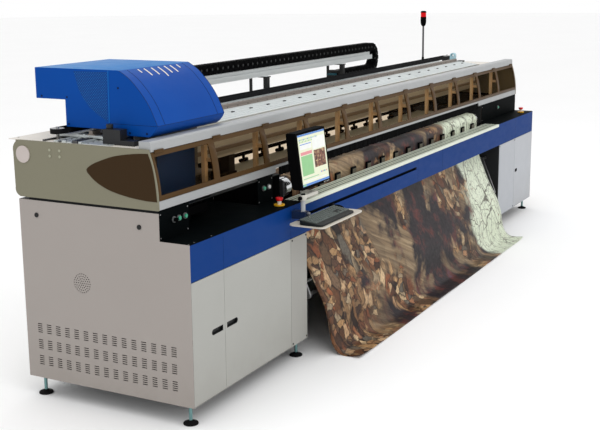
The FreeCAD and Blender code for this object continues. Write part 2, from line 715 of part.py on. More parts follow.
def linear_rails():
    """A rail on top of the beam on its base strip, and a rail on the beam's front."""
    span = ("beam_left", "beam_right")
    base = box(span, ("rail_y - 21", "rail_y + 21"), ("beam_top", "beam_top + 6"))
    top = box(span, ("rail_y - rail_width / 2", "rail_y + rail_width / 2"), ("beam_top + 6", "beam_top + 24"))
    front = box(span, ("beam_front - 15", "beam_front"), ("rail_z - rail_width / 2", "rail_z + rail_width / 2"))
    node("linear_rails", fuse(base, top), front)


def belt_end(x, outward):
    """The half turn that the belt makes around one pulley."""
    ring = cut(rod("Z", (x, "pulley_y", "belt_bottom"), "belt_width", "belt_inside + belt_thick"),
               rod("Z", (x, "pulley_y", "belt_bottom - 1"), "belt_width + 2", "belt_inside"))
    side = (x, f"{x} + 50") if outward > 0 else (f"{x} - 50", x)
    return common(ring, box(side, ("pulley_y - 50", "pulley_y + 50"), ("belt_bottom - 1", "belt_bottom + 40")))


def belt_drive():
    """The toothed belt in a flat loop around an upright pulley at each end, and the motors and lift drive."""
    belt_z = ("belt_bottom", "belt_bottom + belt_width")
    belt_x = ("-pulley_x", "pulley_x")
    node(
        "drive_belt",
        box(belt_x, ("pulley_y - belt_inside - belt_thick", "pulley_y - belt_inside"), belt_z),
        box(belt_x, ("pulley_y + belt_inside", "pulley_y + belt_inside + belt_thick"), belt_z),
        belt_end("-pulley_x", -1),
        belt_end("pulley_x", 1),
    )
    for label, x, low in (("drive_pulley", "-pulley_x", "belt_bottom - 30"),
                          ("idler_pulley", "pulley_x", "belt_bottom - 20")):
        node(label, fuse(
            rod("Z", (x, "pulley_y", "belt_bottom"), "belt_width", "pulley_radius"),
            rod("Z", (x, "pulley_y", low), f"belt_bottom + belt_width + 8 - ({low})", 8),
        ))
    motor_y = ("pulley_y - 40", "pulley_y + 40")
    motor_x = ("-pulley_x - 40", "-pulley_x + 40")
    feed_y = ("feed_y - 40", "feed_y + 40")
    node(
        "drive_motors",
        box(motor_x, motor_y, ("belt_bottom - 210", "belt_bottom - 44")),
        box(("roller_end + 14", "roller_end + 140"), feed_y, ("roller_z - 40", "roller_z + 40")),
        cut(box((-2470, -2370), (308, 388), ("ledge_top", 938)), rod("Z", (-2420, 348, 900), 60, 8.2)),
    )


def beam_end_brackets():
    """The left buffer and its cable inlet, the right stop and rail bracket, and the idler pulley's base."""
    deck = "housing_top"
    bracket = cut(
        fuse(box((2564, 2612), (668, 714), (deck, 1423)), rod("X", (2564, 691, 1423), 48, 23)),
        rod("X", (2560, 691, 1423), 60, 13),
    )
    base = cut(
        box(("pulley_x - 35", "pulley_x + 35"), ("pulley_y - 35", "pulley_y + 35"), (deck, "belt_bottom - 3")),
        rod("Z", ("pulley_x", "pulley_y", "belt_bottom - 60"), 80, 8.05),
    )
    node(
        "beam_end_brackets",
        box((-2800, -2745), (411, 515), (deck, 1424)),
        box((-2800, -2745), (331, 411), (deck, 1374)),
        rod("Z", (-2772, 492, 1424), 22, 17),
        rod("X", (-2745, 460, 1400), 13, 12),
        box((2566, 2640), (598, 648), (deck, 1378)),
        bracket,
        base,
    )


def energy_chain():
    """The cable chain as three stretches, the tray that carries its upper run, and the tray's legs."""
    rear = "chain_front + chain_width"
    upper_z = ("chain_z + chain_inner", "chain_z + chain_outer")
    lower_z = ("chain_z - chain_outer", "chain_z - chain_inner")
    side = ("chain_front", rear)
    node("chain_upper_run", box(("cover_right + 1", "chain_bend_x"), side, upper_z))
    node("chain_lower_run", box(("chain_fixed_x", "chain_bend_x"), side, lower_z))
    start = ("chain_bend_x", "chain_front", "chain_z")
    ring = cut(rod("Y", start, "chain_width", "chain_outer"),
               rod("Y", ("chain_bend_x", "chain_front - 1", "chain_z"), "chain_width + 2", "chain_inner"))
    right_half = box(("chain_bend_x", "chain_bend_x + 200"), ("chain_front - 2", f"{rear} + 2"),
                     ("chain_z - 200", "chain_z + 200"))
    node("chain_bend", common(ring, right_half))
    span = ("tray_left", "tray_right")
    tray = [box(span, (892, 998), ("tray_bottom", "tray_bottom + wall"))]
    for low in (892, 995):
        tray.append(box(span, (low, f"{low} + wall"), ("tray_bottom + wall", "tray_top")))
    for low in (915, 960):
        tray.append(box(span, (low, f"{low} + 12"), ("tray_bottom + wall", 1538)))
    for middle in (-1740, -560, 620):
        tray.append(box((f"{middle} - 30", f"{middle} + 30"), (864, 1014), ("tray_bottom - 8", "tray_bottom")))
        leg_z = ("housing_top", "tray_bottom - 8")
        tray.append(box((f"{middle} - 18", f"{middle} + 18"), (866, 896), leg_z))
        tray.append(box((f"{middle} - 8", f"{middle} + 8"), (996, 1012), leg_z))
    tray.append(box((600, "chain_fixed_x"), (902, 988), ("housing_top", 1432)))
    node("chain_tray", *tray)


def signal_tower():
    """Base, pole and housing of the signal tower, with its lens as a separate piece."""
    at = ("tower_x", "tower_y")
    base_y = ("tower_y - 18", "tower_y + 18")
    node("signal_tower", fuse(
        box(("tower_x - 45", "tower_x + 45"), base_y, ("housing_top", "housing_top + 8")),
        rod("Z", (*at, "housing_top + 8"), "tower_case + 2 - housing_top - 8", 8.5),
        rod("Z", (*at, "tower_case"), "tower_lens - tower_case", 26),
    ), rod("Z", (*at, "tower_cap"), 16, 26))
    node("signal_lens", rod("Z", (*at, "tower_lens"), "tower_cap - tower_lens", 25))


# ---- media path ----------------------------------------------------------------------------------------
def platen_and_rollers():
    node(
        "vacuum_platen",
        box(("-roller_end", "roller_end"), (258, 590), ("platen_z - 20", "platen_z")),
        box((-1640, 1640), (280, 575), (900, "platen_z - 20")),
        *[box((x, x + 30), (y, y + 60), (860, 900)) for x in (-1500, -500, 500, 1500) for y in (310, 510)],
    )
    side_plates = []
    bores = [rod("X", (low, y, "roller_z"), 20, "shaft + running")
             for low in (-1675, 1655) for y in ("roller_y", "feed_y")]
    for x in ((-1670, -1662), (1662, 1670)):
        outline = [(150, 905), (290, 860), (715, 860), (715, 1010), (150, 1010)]
        side_plates.append(prism(outline, x))
    for x in (("inner_left", "inner_left + 22"), ("inner_right - 22", "inner_right")):
        holder = box(x, ("roll_y - 45", "roll_y + 45"), ("roll_z - 60", "roll_z + 45"))
        side_plates.append(cut(holder, rod("X", (x[0], "roll_y", "roll_z"), 22, "20 + running")))
    node("roller_brackets", cut(side_plates[0], *bores[:2]), cut(side_plates[1], *bores[2:]), *side_plates[2:])
    for label, y in (("front_roller", "roller_y"), ("feed_roller", "feed_y")):
        node(label, fuse(
            rod("X", ("-roller_end", y, "roller_z"), "roller_end * 2", "roller_radius"),
            rod("X", (-1669, y, "roller_z"), 3340, "shaft"),
        ))
    roll_start = ("media_left", "roll_y", "roll_z")
    node("media_roll", fuse(
        rod("X", roll_start, "media_right - media_left", "roll_radius"),
        rod("X", ("inner_left + 1", "roll_y", "roll_z"), "inner_right - inner_left - 2", 20),
    ))
    pinch = [box((-1640, 1640), (640, 660), (1062, 1082))]
    for index in range(14):
        middle = -1495 + 230 * index
        pinch.append(box((middle - 8, middle + 8), (644, 656), (1045, 1062)))
        pinch.append(rod("X", (middle - 40, "feed_y", "roller_z + roller_radius + 14.6"), 80, 12))
    node("pinch_rollers", *pinch)


def tension_bar():
    """The swinging bar behind the hanging media, on an arm at each end."""
    lean = [(4, 330, (-10, 336)), (20, 330), (137, 610), (119, 635, (135, 629)), (100, 622), (-12, 349)]
    node("tension_bar", fuse(
        prism(lean, (-1655, -1643)),
        prism(lean, (1745, 1757)),
        rod("X", (-1656, 4, 352), 3414, 12),
        rod("X", (-1669, 119, 615), 24, 10),
        rod("X", (1746, 119, 615), 123, 10),
    ))


# Centre line of the media below the front roller: (y, z) from the roller to the end on the floor.
HANG = [(129, 905), (122, 780), (100, 670), (62, 575), (26, 487), (-24, 390), (-70, 300),
        (-98, 205), (-112, 120), (-134, 52), (-170, 14), (-215, 1.5), (-300, 1.5)]
# Heights where the web between the media roll and the feed roller is divided.
REAR_HEIGHTS = (432, 600, 800)
ROLLER_STEPS = 6


def strip(points, x):
    """Flat stretches of sheet that meet end to end, one solid for each."""
    half = number("media") / 2
    sides = []
    for index, (y, z) in enumerate(points):
        before = points[max(index - 1, 0)]
        after = points[min(index + 1, len(points) - 1)]
        along = V(0, after[0] - before[0], after[1] - before[1]).normalize()
        across = V(0, along.z, -along.y) * half
        middle = V(0, y, z)
        sides.append((middle - across, middle + across))
    solids = []
    for (a, b), (c, d) in zip(sides, sides[1:]):
        solids.append(Part.Face(Part.makePolygon([a, b, d, c, a])).extrude(V(x[1] - x[0], 0, 0)))
    return [solid.translated(V(x[0], 0, 0)) for solid in solids]


def web_reach():
    """Distance of the web's centre line from a roller's axis, with room for the flats between its points."""
    flat = pi / 4 / ROLLER_STEPS
    return number("roller_radius + 0.4 + media / 2") / cos(flat)


def arc_points(centre_y, from_angle, to_angle):
    """Points on the media's centre line around a roller."""
    span = to_angle - from_angle
    angles = [radians(from_angle + span * step / ROLLER_STEPS) for step in range(ROLLER_STEPS + 1)]
    return [(centre_y + web_reach() * cos(a), number("roller_z") + web_reach() * sin(a)) for a in angles]


def printed_banner():
    """The printed web: up from the media roll, over both rollers and the platen, and down to the floor."""
    rear_y = number("feed_y") + web_reach()
    web = [(rear_y, z) for z in REAR_HEIGHTS]
    web += arc_points(number("feed_y"), 0, 90) + arc_points(number("roller_y"), 90, 180) + HANG
    banner = doc.addObject("Part::Feature", "banner")
    banner.Shape = Part.makeCompound(strip(web, (number("media_left"), number("media_right"))))
    banner.Placement = FreeCAD.Placement(V(0, number("front_y"), 0), R())
    node("printed_banner", banner)


# ---- carriage ------------------------------------------------------------------------------------------
def bearing(x, y, z, groove_y, groove_z):
    """A rail carriage block with the rail's groove in it."""
    return cut(box((x, x + 80), y, z), box((x - 1, x + 81), groove_y, groove_z))


def carriage():
    """The plate that rides on both rails, its bearing blocks, the heads and the lamps."""
    wide = (-2690, -2145)
    blocks = []
    for x in (-2660, -2260):
        blocks.append(bearing(x, (628, 684), ("beam_top + 9", 1412),
                              ("rail_y - rail_width / 2 - 0.3", "rail_y + rail_width / 2 + 0.3"),
                              ("beam_top", "beam_top + 24.3")))
        blocks.append(bearing(x, (417, 439), ("rail_z - 22", "rail_z + 22"), ("beam_front - 15.3", 450),
                              ("rail_z - rail_width / 2 - 0.3", "rail_z + rail_width / 2 + 0.3")))
    node(
        "carriage_plate",
        box(wide, (405, 760), (1412, 1424)),
        box(wide, (405, 417), (1140, 1412)),
        box((-2650, -2190), (285, 405), (1140, 1150)),
        box((-2690, -2360), (281, 284), (1036, 1376)),
        box((-2450, -2380), (764, "pulley_y - pulley_radius - 3.6"), ("belt_bottom + 2", 1424)),
        *blocks,
    )
    heads = []
    lamps = []
    for index in range(8):
        left = f"head_left + {index} * head_pitch"
        heads.append(fuse(
            box((left, f"{left} + head_pitch - 4"), (300, 395), ("head_bottom + 22", 1140)),
            box((f"{left} + 6", f"{left} + head_pitch - 10"), (315, 380), ("head_bottom", "head_bottom + 22")),
        ))
    for left in (-2646, -2236):
        lamps.append(box((left, left + 42), (300, 395), (1032, 1140)))
    node("print_heads", *heads, *lamps)


def carriage_cover():
    """The hollow cover over the carriage, with a rounded front and a raised rear overhang."""
    def outline(inset):
        return [
            (988 - inset, 1545 + inset), (988 - inset, 1700 - inset), (469, 1700 - inset),
            (355 + inset * 0.7, 1612 - inset * 0.7, (405 + inset * 0.4, 1666 - inset)),
            (250 + inset, 1440, (292 + inset, 1530)), (300 + inset, 1385 + inset, (268 + inset, 1405)),
            (525 + inset, 1385 + inset), (525 + inset, 1410 + inset), (803 + inset, 1410 + inset),
            (803 + inset, 1545 + inset),
        ]
    shell = prism(outline(0), ("cover_left", "cover_right"))
    hollow = prism(outline(number("cover_wall")), ("cover_left + cover_wall", "cover_right - cover_wall"))
    mouth_x = ("cover_left + 24", "cover_right - 24")
    mouth = box(mouth_x, (400, 796), (1370, 1420))
    node("carriage_cover", cut(shell, hollow, mouth))


def capping_station():
    """The tray that rises to cap the parked heads, with one cap for each head."""
    tray = cut(box((-2600, -2240), (290, 405), (940, 985)), box((-2594, -2246), (296, 399), (946, 990)))
    caps = [box((f"head_left + {index} * head_pitch + 4", f"head_left + {index} * head_pitch + head_pitch - 8"),
                (312, 383), (946, 998)) for index in range(8)]
    plunger = rod("Z", (-2420, 348, 915), 25, 8)
    node("capping_station", fuse(tray, plunger), *caps)


# ---- inside the cabinets -------------------------------------------------------------------------------
def cabinet_fan():
    """The rotor of the left cabinet's fan: a hub and seven blades."""
    blades = []
    for index in range(7):
        angle = 2 * pi * index / 7
        blade = doc.addObject("Part::Box", "blade")
        blade.Length = 14
        blade.Width = 32
        blade.Height = 2.5
        turn = R(V(1, 0, 0), degrees(angle)) * R(V(0, 1, 0), 35)
        blade_y = f"fan_y + {cos(angle) * 17}"
        blade_z = f"fan_z + {sin(angle) * 17}"
        place(blade, "-half_length + wall + 6", blade_y, blade_z, turn)
        blades.append(blade)
    node("fan_rotor", fuse(rod("X", ("-half_length + wall + 4", "fan_y", "fan_z"), 18, 19), *blades))


def cabinet_contents():
    """Ink tanks on a shelf in the left cabinet, and the power supplies and boards in the right one."""
    tanks = [box((-2500, -1900), (200, 520), (395, 400))]
    for index in range(6):
        left = -2485 + 98 * index
        tanks.append(box((left, left + 80), (220, 500), (400, 600)))
        tanks.append(rod("Z", (left + 40, 260, 600), 22, 24))
    for x in (-2500, -1905):
        tanks.append(box((x, x + 5), (200, 520), (108, 395)))
    node("ink_tanks", *tanks)
    rack = [box((2000, 2780), (700, 704), (120, 1000))]
    for row in range(3):
        for column in range(3):
            left = 2040 + 245 * column
            low = 180 + 250 * row
            rack.append(box((left, left + 200), (640, 700), (low, low + 170)))
    rack.append(box((1990, 2000), (640, 1021), (120, 1000)))
    rack.append(box((2780, 2790), (640, 1021), (120, 1000)))
    node("electronics_rack", *rack)


# ---- operator station ----------------------------------------------------------------------------------
def rounded(x, y, corner):
    """A plan rectangle with round corners."""
    slack = corner * 0.293
    (left, right), (front, rear) = x, y
    return [
        (right - corner, front), (right, front + corner, (right - slack, front + slack)),
        (right, rear - corner), (right - corner, rear, (right - slack, rear - slack)),
        (left + corner, rear), (left, rear - corner, (left + slack, rear - slack)),
        (left, front + corner), (left + corner, front, (left + slack, front + slack)),
    ]


def operator_station():
    """The pole clamped to the front beam with its tray, the swivel arm and the tilting monitor."""
    at = ("pole_x", "pole_y")
    clamp = cut(box(("pole_x - 24", "pole_x + 24"), (-84, -0.2), (842, 884)),
                rod("Z", (*at, 840), 50, "pole_radius"))
    node(
        "monitor_stand",
        plate(rounded((-1940, -1430), (-240, -25), 30), ("tray_z", "tray_z + 8")),
        rod("Z", (*at, "tray_z + 8"), 145, "pole_radius"),
        clamp,
    )
    collar = cut(rod("Z", (*at, 945), 30, 20), rod("Z", (*at, 940), 40, "pole_radius + running"))
    arm = fuse(
        collar,
        box(("pole_x + 15", -1660), (-68, -52), (952, 970)),
        box((-1682, -1660), (-68, 34), (952, 970)),
        box((-1682, -1660), (14, 34), (952, 1084)),
    )
    node("monitor_arm", cut(arm, rod("X", (-1700, 24, 1072), 60, "6 + running")))
    case = [(-67, 1000), (-12, 1000), (-2, 1010), (20, 1150), (34, 1300), (28, 1308), (-24, 1308)]
    ears = [prism([(-3, 1060), (24, 1060), (24, 1084, (36, 1072)), (2, 1084)], x)
            for x in ((-1696, -1684), (-1658, -1646))]
    pin = rod("X", (-1696, 24, 1072), 50, 6)
    body = prism(case, ("screen_left", "screen_right"))
    glass_space = prism([(-70, 1015), (-62, 1015), (-25, 1297), (-33, 1297)],
                        ("screen_left + 15", "screen_right - 15"))
    node("monitor_case", fuse(cut(body, glass_space), *ears, pin))
    node("monitor_screen", prism([(-65, 1016), (-62.5, 1016), (-26, 1296), (-28.5, 1296)],
                                 ("screen_left + 16", "screen_right - 16")))
    keys = [(-225, "tray_z + 8"), (-85, "tray_z + 8"), (-85, "tray_z + 34"), (-225, "tray_z + 20")]
    mouse = [(-135, "tray_z + 8"), (-40, "tray_z + 8"), (-40, "tray_z + 20"),
             (-135, "tray_z + 18", (-80, "tray_z + 42"))]
    node("keyboard_and_mouse", prism(keys, (-1932, -1512)), prism(mouse, (-1500, -1440)))


# ---- build ---------------------------------------------------------------------------------------------
for make in (
    cabinet_shell, end_panels, levelling_feet, doors, front_fascia, table_profile, guide_fingers,
    recess_panels, controls, housing_ends, housing_trims, rear_cover, canopy, print_beam, linear_rails,
    belt_drive, beam_end_brackets, energy_chain, signal_tower, platen_and_rollers, tension_bar,
    printed_banner, carriage, carriage_cover, capping_station, cabinet_fan, cabinet_contents,
    operator_station,
):
    make()
doc.recompute()

for item in doc.Objects:
    if "Invalid" in item.State or "Error" in item.State:
        raise RuntimeError(f"{item.Name} ({item.Label}) failed: {item.State}")
for part in nodes:
    if part.Shape.isNull() or not part.Shape.isValid():
        raise RuntimeError(f"{part.Label} has no valid shape")

os.makedirs("parts", exist_ok=True)
for part in nodes:
    part.Shape.exportStep(f"parts/{part.Label}.step")
    print(part.Label, len(part.Shape.Solids), "solids", round(part.Shape.Volume / 1e6, 3), "litres")
whole = Part.makeCompound([part.Shape for part in nodes]).BoundBox
print("nodes", len(nodes), "box", whole)
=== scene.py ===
"""Looks of the roll-fed UV printer: materials for its CAD parts and finer pieces over some of them."""
from math import cos, hypot, pi, radians, sin, tau
import random

import bmesh
import bpy
from mathutils import Matrix, Vector


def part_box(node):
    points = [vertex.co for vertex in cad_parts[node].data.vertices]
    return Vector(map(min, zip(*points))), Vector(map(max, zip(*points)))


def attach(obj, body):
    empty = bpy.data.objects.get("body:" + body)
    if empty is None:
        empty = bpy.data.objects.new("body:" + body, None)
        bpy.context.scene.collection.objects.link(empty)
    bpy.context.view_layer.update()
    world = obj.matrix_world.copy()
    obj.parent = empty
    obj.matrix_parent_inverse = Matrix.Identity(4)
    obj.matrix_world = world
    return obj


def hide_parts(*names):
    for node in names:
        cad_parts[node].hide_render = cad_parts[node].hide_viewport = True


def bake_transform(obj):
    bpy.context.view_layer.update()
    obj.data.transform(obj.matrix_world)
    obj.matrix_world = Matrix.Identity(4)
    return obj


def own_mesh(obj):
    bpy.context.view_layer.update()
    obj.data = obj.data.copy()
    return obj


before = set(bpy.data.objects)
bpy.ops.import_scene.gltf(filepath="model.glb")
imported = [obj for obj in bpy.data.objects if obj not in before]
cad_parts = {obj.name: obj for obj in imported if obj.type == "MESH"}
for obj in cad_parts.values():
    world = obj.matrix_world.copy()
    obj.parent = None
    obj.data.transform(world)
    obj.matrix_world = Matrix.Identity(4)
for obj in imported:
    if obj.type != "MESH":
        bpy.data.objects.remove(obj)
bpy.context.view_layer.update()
MM = 0.001


class Span:
    """The space that a CAD node takes up, in metres."""

    def __init__(self, node):
        self.low, self.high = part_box(node)
        self.x0, self.y0, self.z0 = self.low
        self.x1, self.y1, self.z1 = self.high
        self.size = self.high - self.low
        self.middle = (self.low + self.high) / 2


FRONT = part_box("narrow_door")[0].y


def at(x, y, z):
    """A point in metres from millimetres, with y from the cabinets' front plane."""
    return Vector((x * MM, FRONT + y * MM, z * MM))


def deep(y):
    """A depth in metres from millimetres behind the cabinets' front plane."""
    return at(0, y, 0).y


UP, FORWARD, RIGHT = (0, 0, 1), (0, -1, 0), (1, 0, 0)


def shared(low, high, count):
    """Evenly spaced values from low to high."""
    return [low + (high - low) * k / (count - 1) for k in range(count)]


# ---- materials -----------------------------------------------------------------------------------------
def linear(red, green, blue):
    """A colour given as 0-255 screen values, as linear RGBA."""
    def channel(value):
        value /= 255
        return value / 12.92 if value <= 0.04045 else ((value + 0.055) / 1.055) ** 2.4
    return (channel(red), channel(green), channel(blue), 1.0)


def shade(colour, factor):
    """A colour made lighter or darker."""
    return (*(min(1.0, part * factor) for part in colour[:3]), 1.0)


class Graph:
    """A material with one Principled shader, and short calls that add nodes to it."""

    def __init__(self, name, **sockets):
        self.material = bpy.data.materials.new(name)
        self.material.use_nodes = True
        self.tree = self.material.node_tree
        self.tree.nodes.clear()
        self.output = self.tree.nodes.new("ShaderNodeOutputMaterial")
        self.shader = self.tree.nodes.new("ShaderNodeBsdfPrincipled")
        self.tree.links.new(self.shader.outputs[0], self.output.inputs[0])
        for key, value in sockets.items():
            self.set(key.replace("_", " "), value)
        # object coordinates in metres, which are the same for every piece
        self.place = self.node("ShaderNodeTexCoord", output=3)

    def put(self, socket, value):
        if isinstance(value, bpy.types.NodeSocket):
            self.tree.links.new(value, socket)
        else:
            socket.default_value = value

    def set(self, socket, value):
        self.put(self.shader.inputs[socket], value)

    def node(self, kind, inputs=(), output=0, **settings):
        added = self.tree.nodes.new(kind)
        for key, value in settings.items():
            setattr(added, key, value)
        for key, value in dict(inputs).items():
            self.put(added.inputs[key], value)
        return added.outputs[output]

    def scaled(self, factors, vector=None):
        inputs = {0: self.place if vector is None else vector, 1: factors}
        return self.node("ShaderNodeVectorMath", inputs, operation="MULTIPLY")

    def axes(self, vector=None):
        split = self.tree.nodes.new("ShaderNodeSeparateXYZ")
        self.put(split.inputs[0], self.place if vector is None else vector)
        return split.outputs

    def noise(self, scale, detail=3.0, roughness=0.5, distortion=0.0, vector=None, output=0):
        inputs = {"Vector": self.place if vector is None else vector, "Scale": scale, "Detail": detail,
                  "Roughness": roughness, "Distortion": distortion}
        return self.node("ShaderNodeTexNoise", inputs, output=output)

    def cells(self, vector, scale, feature="F1", output=0):
        inputs = {"Vector": vector, "Scale": scale}
        return self.node("ShaderNodeTexVoronoi", inputs, output=output, feature=feature)

    def calc(self, operation, a, b=0.0):
        return self.node("ShaderNodeMath", {0: a, 1: b}, operation=operation)

    def above(self, value, limit):
        return self.calc("GREATER_THAN", value, limit)

    def below(self, value, limit):
        return self.calc("LESS_THAN", value, limit)

    def times(self, first, *others):
        for other in others:
            first = self.calc("MULTIPLY", first, other)
        return first

    def minus(self, a, b):
        return self.calc("SUBTRACT", a, b)

    def spread(self, value, low, high, to_low=0.0, to_high=1.0):
        inputs = {"Value": value, "From Min": low, "From Max": high, "To Min": to_low, "To Max": to_high}
        return self.node("ShaderNodeMapRange", inputs, clamp=True)

    def mix(self, factor, a, b, blend="MIX"):
        inputs = {0: factor, 6: a, 7: b}
        return self.node("ShaderNodeMix", inputs, output=2, data_type="RGBA", blend_type=blend)

    def mottled(self, factor, colour, amount):
        """A colour that varies by a share of itself."""
        return self.mix(factor, shade(colour, 1 - amount), shade(colour, 1 + amount))

    def ramp(self, value, stops):
        added = self.tree.nodes.new("ShaderNodeValToRGB")
        elements = added.color_ramp.elements
        while len(elements) < len(stops):
            elements.new(0.5)
        for element, (position, colour) in zip(elements, stops):
            element.position = position
            element.color = linear(*colour)
        self.put(added.inputs[0], value)
        return added.outputs[0]

    def bump(self, height, strength, distance=0.0006):
        return self.node("ShaderNodeBump", {"Height": height, "Strength": strength, "Distance": distance})

    def finished(self, tone, worn, low, high, peel, peel_scale=380.0):
        """Set the colour, a gloss that wears in patches and a fine orange peel."""
        self.set("Base Color", tone)
        self.set("Roughness", self.spread(worn, 0.3, 0.75, low, high))
        self.set("Normal", self.bump(self.noise(peel_scale, 2.0), peel))
        return self.material


def coated(name, colour, rough, mottle=0.05, shine=0.3, peel=0.25, scuff=0.12, coat=0.0):
    """Paint or moulded plastic: uneven tone, orange peel and patches of wear in the gloss."""
    g = Graph(name, Coat_Weight=coat, Coat_Roughness=0.12, Specular_IOR_Level=shine)
    worn = g.noise(11.0, 6.0, 0.62, vector=g.scaled((1.0, 1.0, 2.2)))
    return g.finished(g.mottled(g.noise(2.6, 4.0), linear(*colour), mottle), worn, rough - scuff / 2,
                      rough + scuff / 2, peel)


def brushed(name, colour, rough, metal=0.9, groove=0.18, along=(2.0, 240.0, 240.0)):
    """Metal with a drawn or brushed grain along one axis."""
    g = Graph(name, Metallic=metal)
    grain = g.noise(1.0, 5.0, 0.6, vector=g.scaled(along))
    tone = g.mottled(g.noise(4.0, 4.0), linear(*colour), 0.08)
    g.set("Base Color", g.mix(g.spread(grain, 0.35, 0.7, 0.0, 0.35), tone, shade(linear(*colour), 0.72)))
    g.set("Roughness", g.spread(grain, 0.3, 0.7, rough - 0.07, rough + 0.12))
    g.set("Normal", g.bump(grain, groove, 0.0003))
    return g.material


STUB_RIGHT, STUB_TOP = 0.075, 0.32  # right side, from the platen's left end, and top of the pale stub
PANEL_LEFT, PANEL_TOP = 1.8, 0.73  # bounds of the right cabinet's fixed front panel


def shell_paint():
    """The cabinets' sheets are painted, with the inner ones near black as painted shade inside the cabinets;
    between the cabinets the same node holds dark beams.
    """
    g = Graph("shell_paint", Specular_IOR_Level=0.1)
    x, y, z = g.axes()
    shell = Span("cabinet_shell")
    bay = Span("vacuum_platen").x0
    between = g.times(g.above(x, bay - 0.008), g.below(x, Span("electronics_rack").x0 - 0.118))
    stub = g.times(g.below(x, bay + STUB_RIGHT), g.below(z, STUB_TOP), g.below(y, FRONT + 0.45))
    front = g.below(y, shell.y0 + 0.01)
    outer = g.calc("MAXIMUM", front, g.above(y, shell.y1 - 0.003))
    tone = g.mix(g.noise(2.6, 4.0), linear(148, 147, 142), linear(162, 161, 156))
    # painted shade: all but the front and rear faces get near black, for the shade inside the cabinets
    tone = g.mix(outer, linear(14, 16, 17), tone)
    right_front = g.times(front, g.above(x, PANEL_LEFT), g.below(z, PANEL_TOP))
    tone = g.mix(right_front, tone, linear(172, 175, 180))
    tone = g.mix(between, tone, linear(40, 41, 42))
    tone = g.mix(g.times(between, stub), tone, linear(205, 210, 208))
    return g.finished(tone, g.noise(12.0, 6.0, 0.6), 0.36, 0.5, 0.25)


def two_tone_and_shade(name, mask_of, inside, outside, rough=0.42, metal=0.0):
    """One part in two colours: mask_of gives 1 where the inside colour shows; on the table that colour is
    painted shade in its grooves.
    """
    g = Graph(name, Metallic=metal, Specular_IOR_Level=0.3)
    grain = g.noise(3.0, 4.0)
    first, second = (g.mottled(grain, linear(*colour), 0.06) for colour in (inside, outside))
    tone = g.mix(mask_of(g, *g.axes()), second, first)
    return g.finished(tone, g.noise(14.0, 6.0, 0.6), rough - 0.07, rough + 0.07, 0.2)


LEDGE = Span("table_profile").z1
TRIM_POSTS = (1.1052, Span("housing_trims").z1 - 0.05)
TRAY_FOOT = 1.4815
PULL_MIDDLE = 0.435
GROOVE_START, GROOVE_PITCH = 0.012, 0.024


def collars(g, x, y, z):
    """The stops' yellow collars on the ledges, below the panels' bright bezels."""
    return g.below(z, LEDGE + 0.012)


def stems(g, x, y, z):
    """The stops' pale stems, below their red heads."""
    return g.below(z, LEDGE + 0.0275)


def rail_bracket(g, x, y, z):
    """The pale blue bracket among black stops."""
    return g.times(g.above(y, FRONT + 0.66), g.below(y, FRONT + 0.72), g.above(x, 0.0))


def grooves(g, x, y, z):
    """Bands along the table's top at its grooves, painted darker green as painted shade."""
    on_top = g.times(g.above(y, FRONT + GROOVE_START), g.below(y, FRONT + 0.108), g.above(z, LEDGE - 0.006))
    along = g.calc("MODULO", g.minus(y, FRONT + GROOVE_START), GROOVE_PITCH)
    return g.times(g.below(g.calc("ABSOLUTE", g.minus(along, GROOVE_PITCH / 2)), 0.0052), on_top)


def plugs(g, x, y, z):
    """The small olive plugs in front of the round warm-white cap."""
    return g.below(y, FRONT + 0.85)


def trim_posts(g, x, y, z):
    """The tan posts between the silver trims."""
    return g.times(g.above(z, TRIM_POSTS[0]), g.below(z, TRIM_POSTS[1]), g.above(y, FRONT + 0.1905))


def tray_legs(g, x, y, z):
    """The black legs and plates below the chain's bright tray."""
    return g.below(z, TRAY_FOOT)


def beyond_sheet(g, x, y, z):
    """The locks, which stand proud of the end sheets."""
    return g.above(g.calc("ABSOLUTE", x), Span("cabinet_shell").x1 + 0.0032)


def inside_pulls(g, x, y, z):
    """The recessed pulls, behind the doors' front face and between the pulls' upper and lower edges."""
    return g.times(g.above(y, FRONT + 0.0003), g.below(g.calc("ABSOLUTE", g.minus(z, PULL_MIDDLE)), 0.0152))


CLAMP_BAND = (0.8415, 0.8845)  # lower and upper side of the stand's clamp


def stand_paint():
    """A warm pale tray, a dark blue clamp above it and a silver pole."""
    g = Graph("stand_paint", Specular_IOR_Level=0.3)
    z = g.axes()[2]
    grain = g.noise(3.0, 4.0)
    silver = g.mix(grain, linear(166, 168, 170), linear(184, 186, 188))
    clamp = g.times(g.above(z, CLAMP_BAND[0]), g.below(z, CLAMP_BAND[1]))
    tone = g.mix(clamp, silver, g.mix(grain, linear(20, 34, 62), linear(28, 44, 76)))
    tray = g.below(z, Span("keyboard_and_mouse").z0 + 0.0005)
    tone = g.mix(tray, tone, g.mix(grain, linear(188, 182, 170), linear(200, 194, 182)))
    return g.finished(tone, g.noise(14.0, 6.0, 0.6), 0.3, 0.44, 0.2)


def perforated(name, sheet, hole, pitch):
    """Painted sheet with staggered rows of small holes."""
    g = Graph(name, Specular_IOR_Level=0.1)
    _, y, z = g.axes()
    across, down = (g.calc("SINE", g.calc("MULTIPLY", axis, tau / pitch)) for axis in (y, z))
    holes = g.spread(g.times(across, down), 0.62, 0.72)
    g.set("Base Color", g.mix(holes, g.mottled(g.noise(5.0, 4.0), linear(*sheet), 0.06), linear(*hole)))
    g.set("Roughness", g.spread(g.noise(14.0, 6.0, 0.6), 0.3, 0.75, 0.4, 0.54))
    g.set("Normal", g.bump(holes, 0.6))
    return g.material


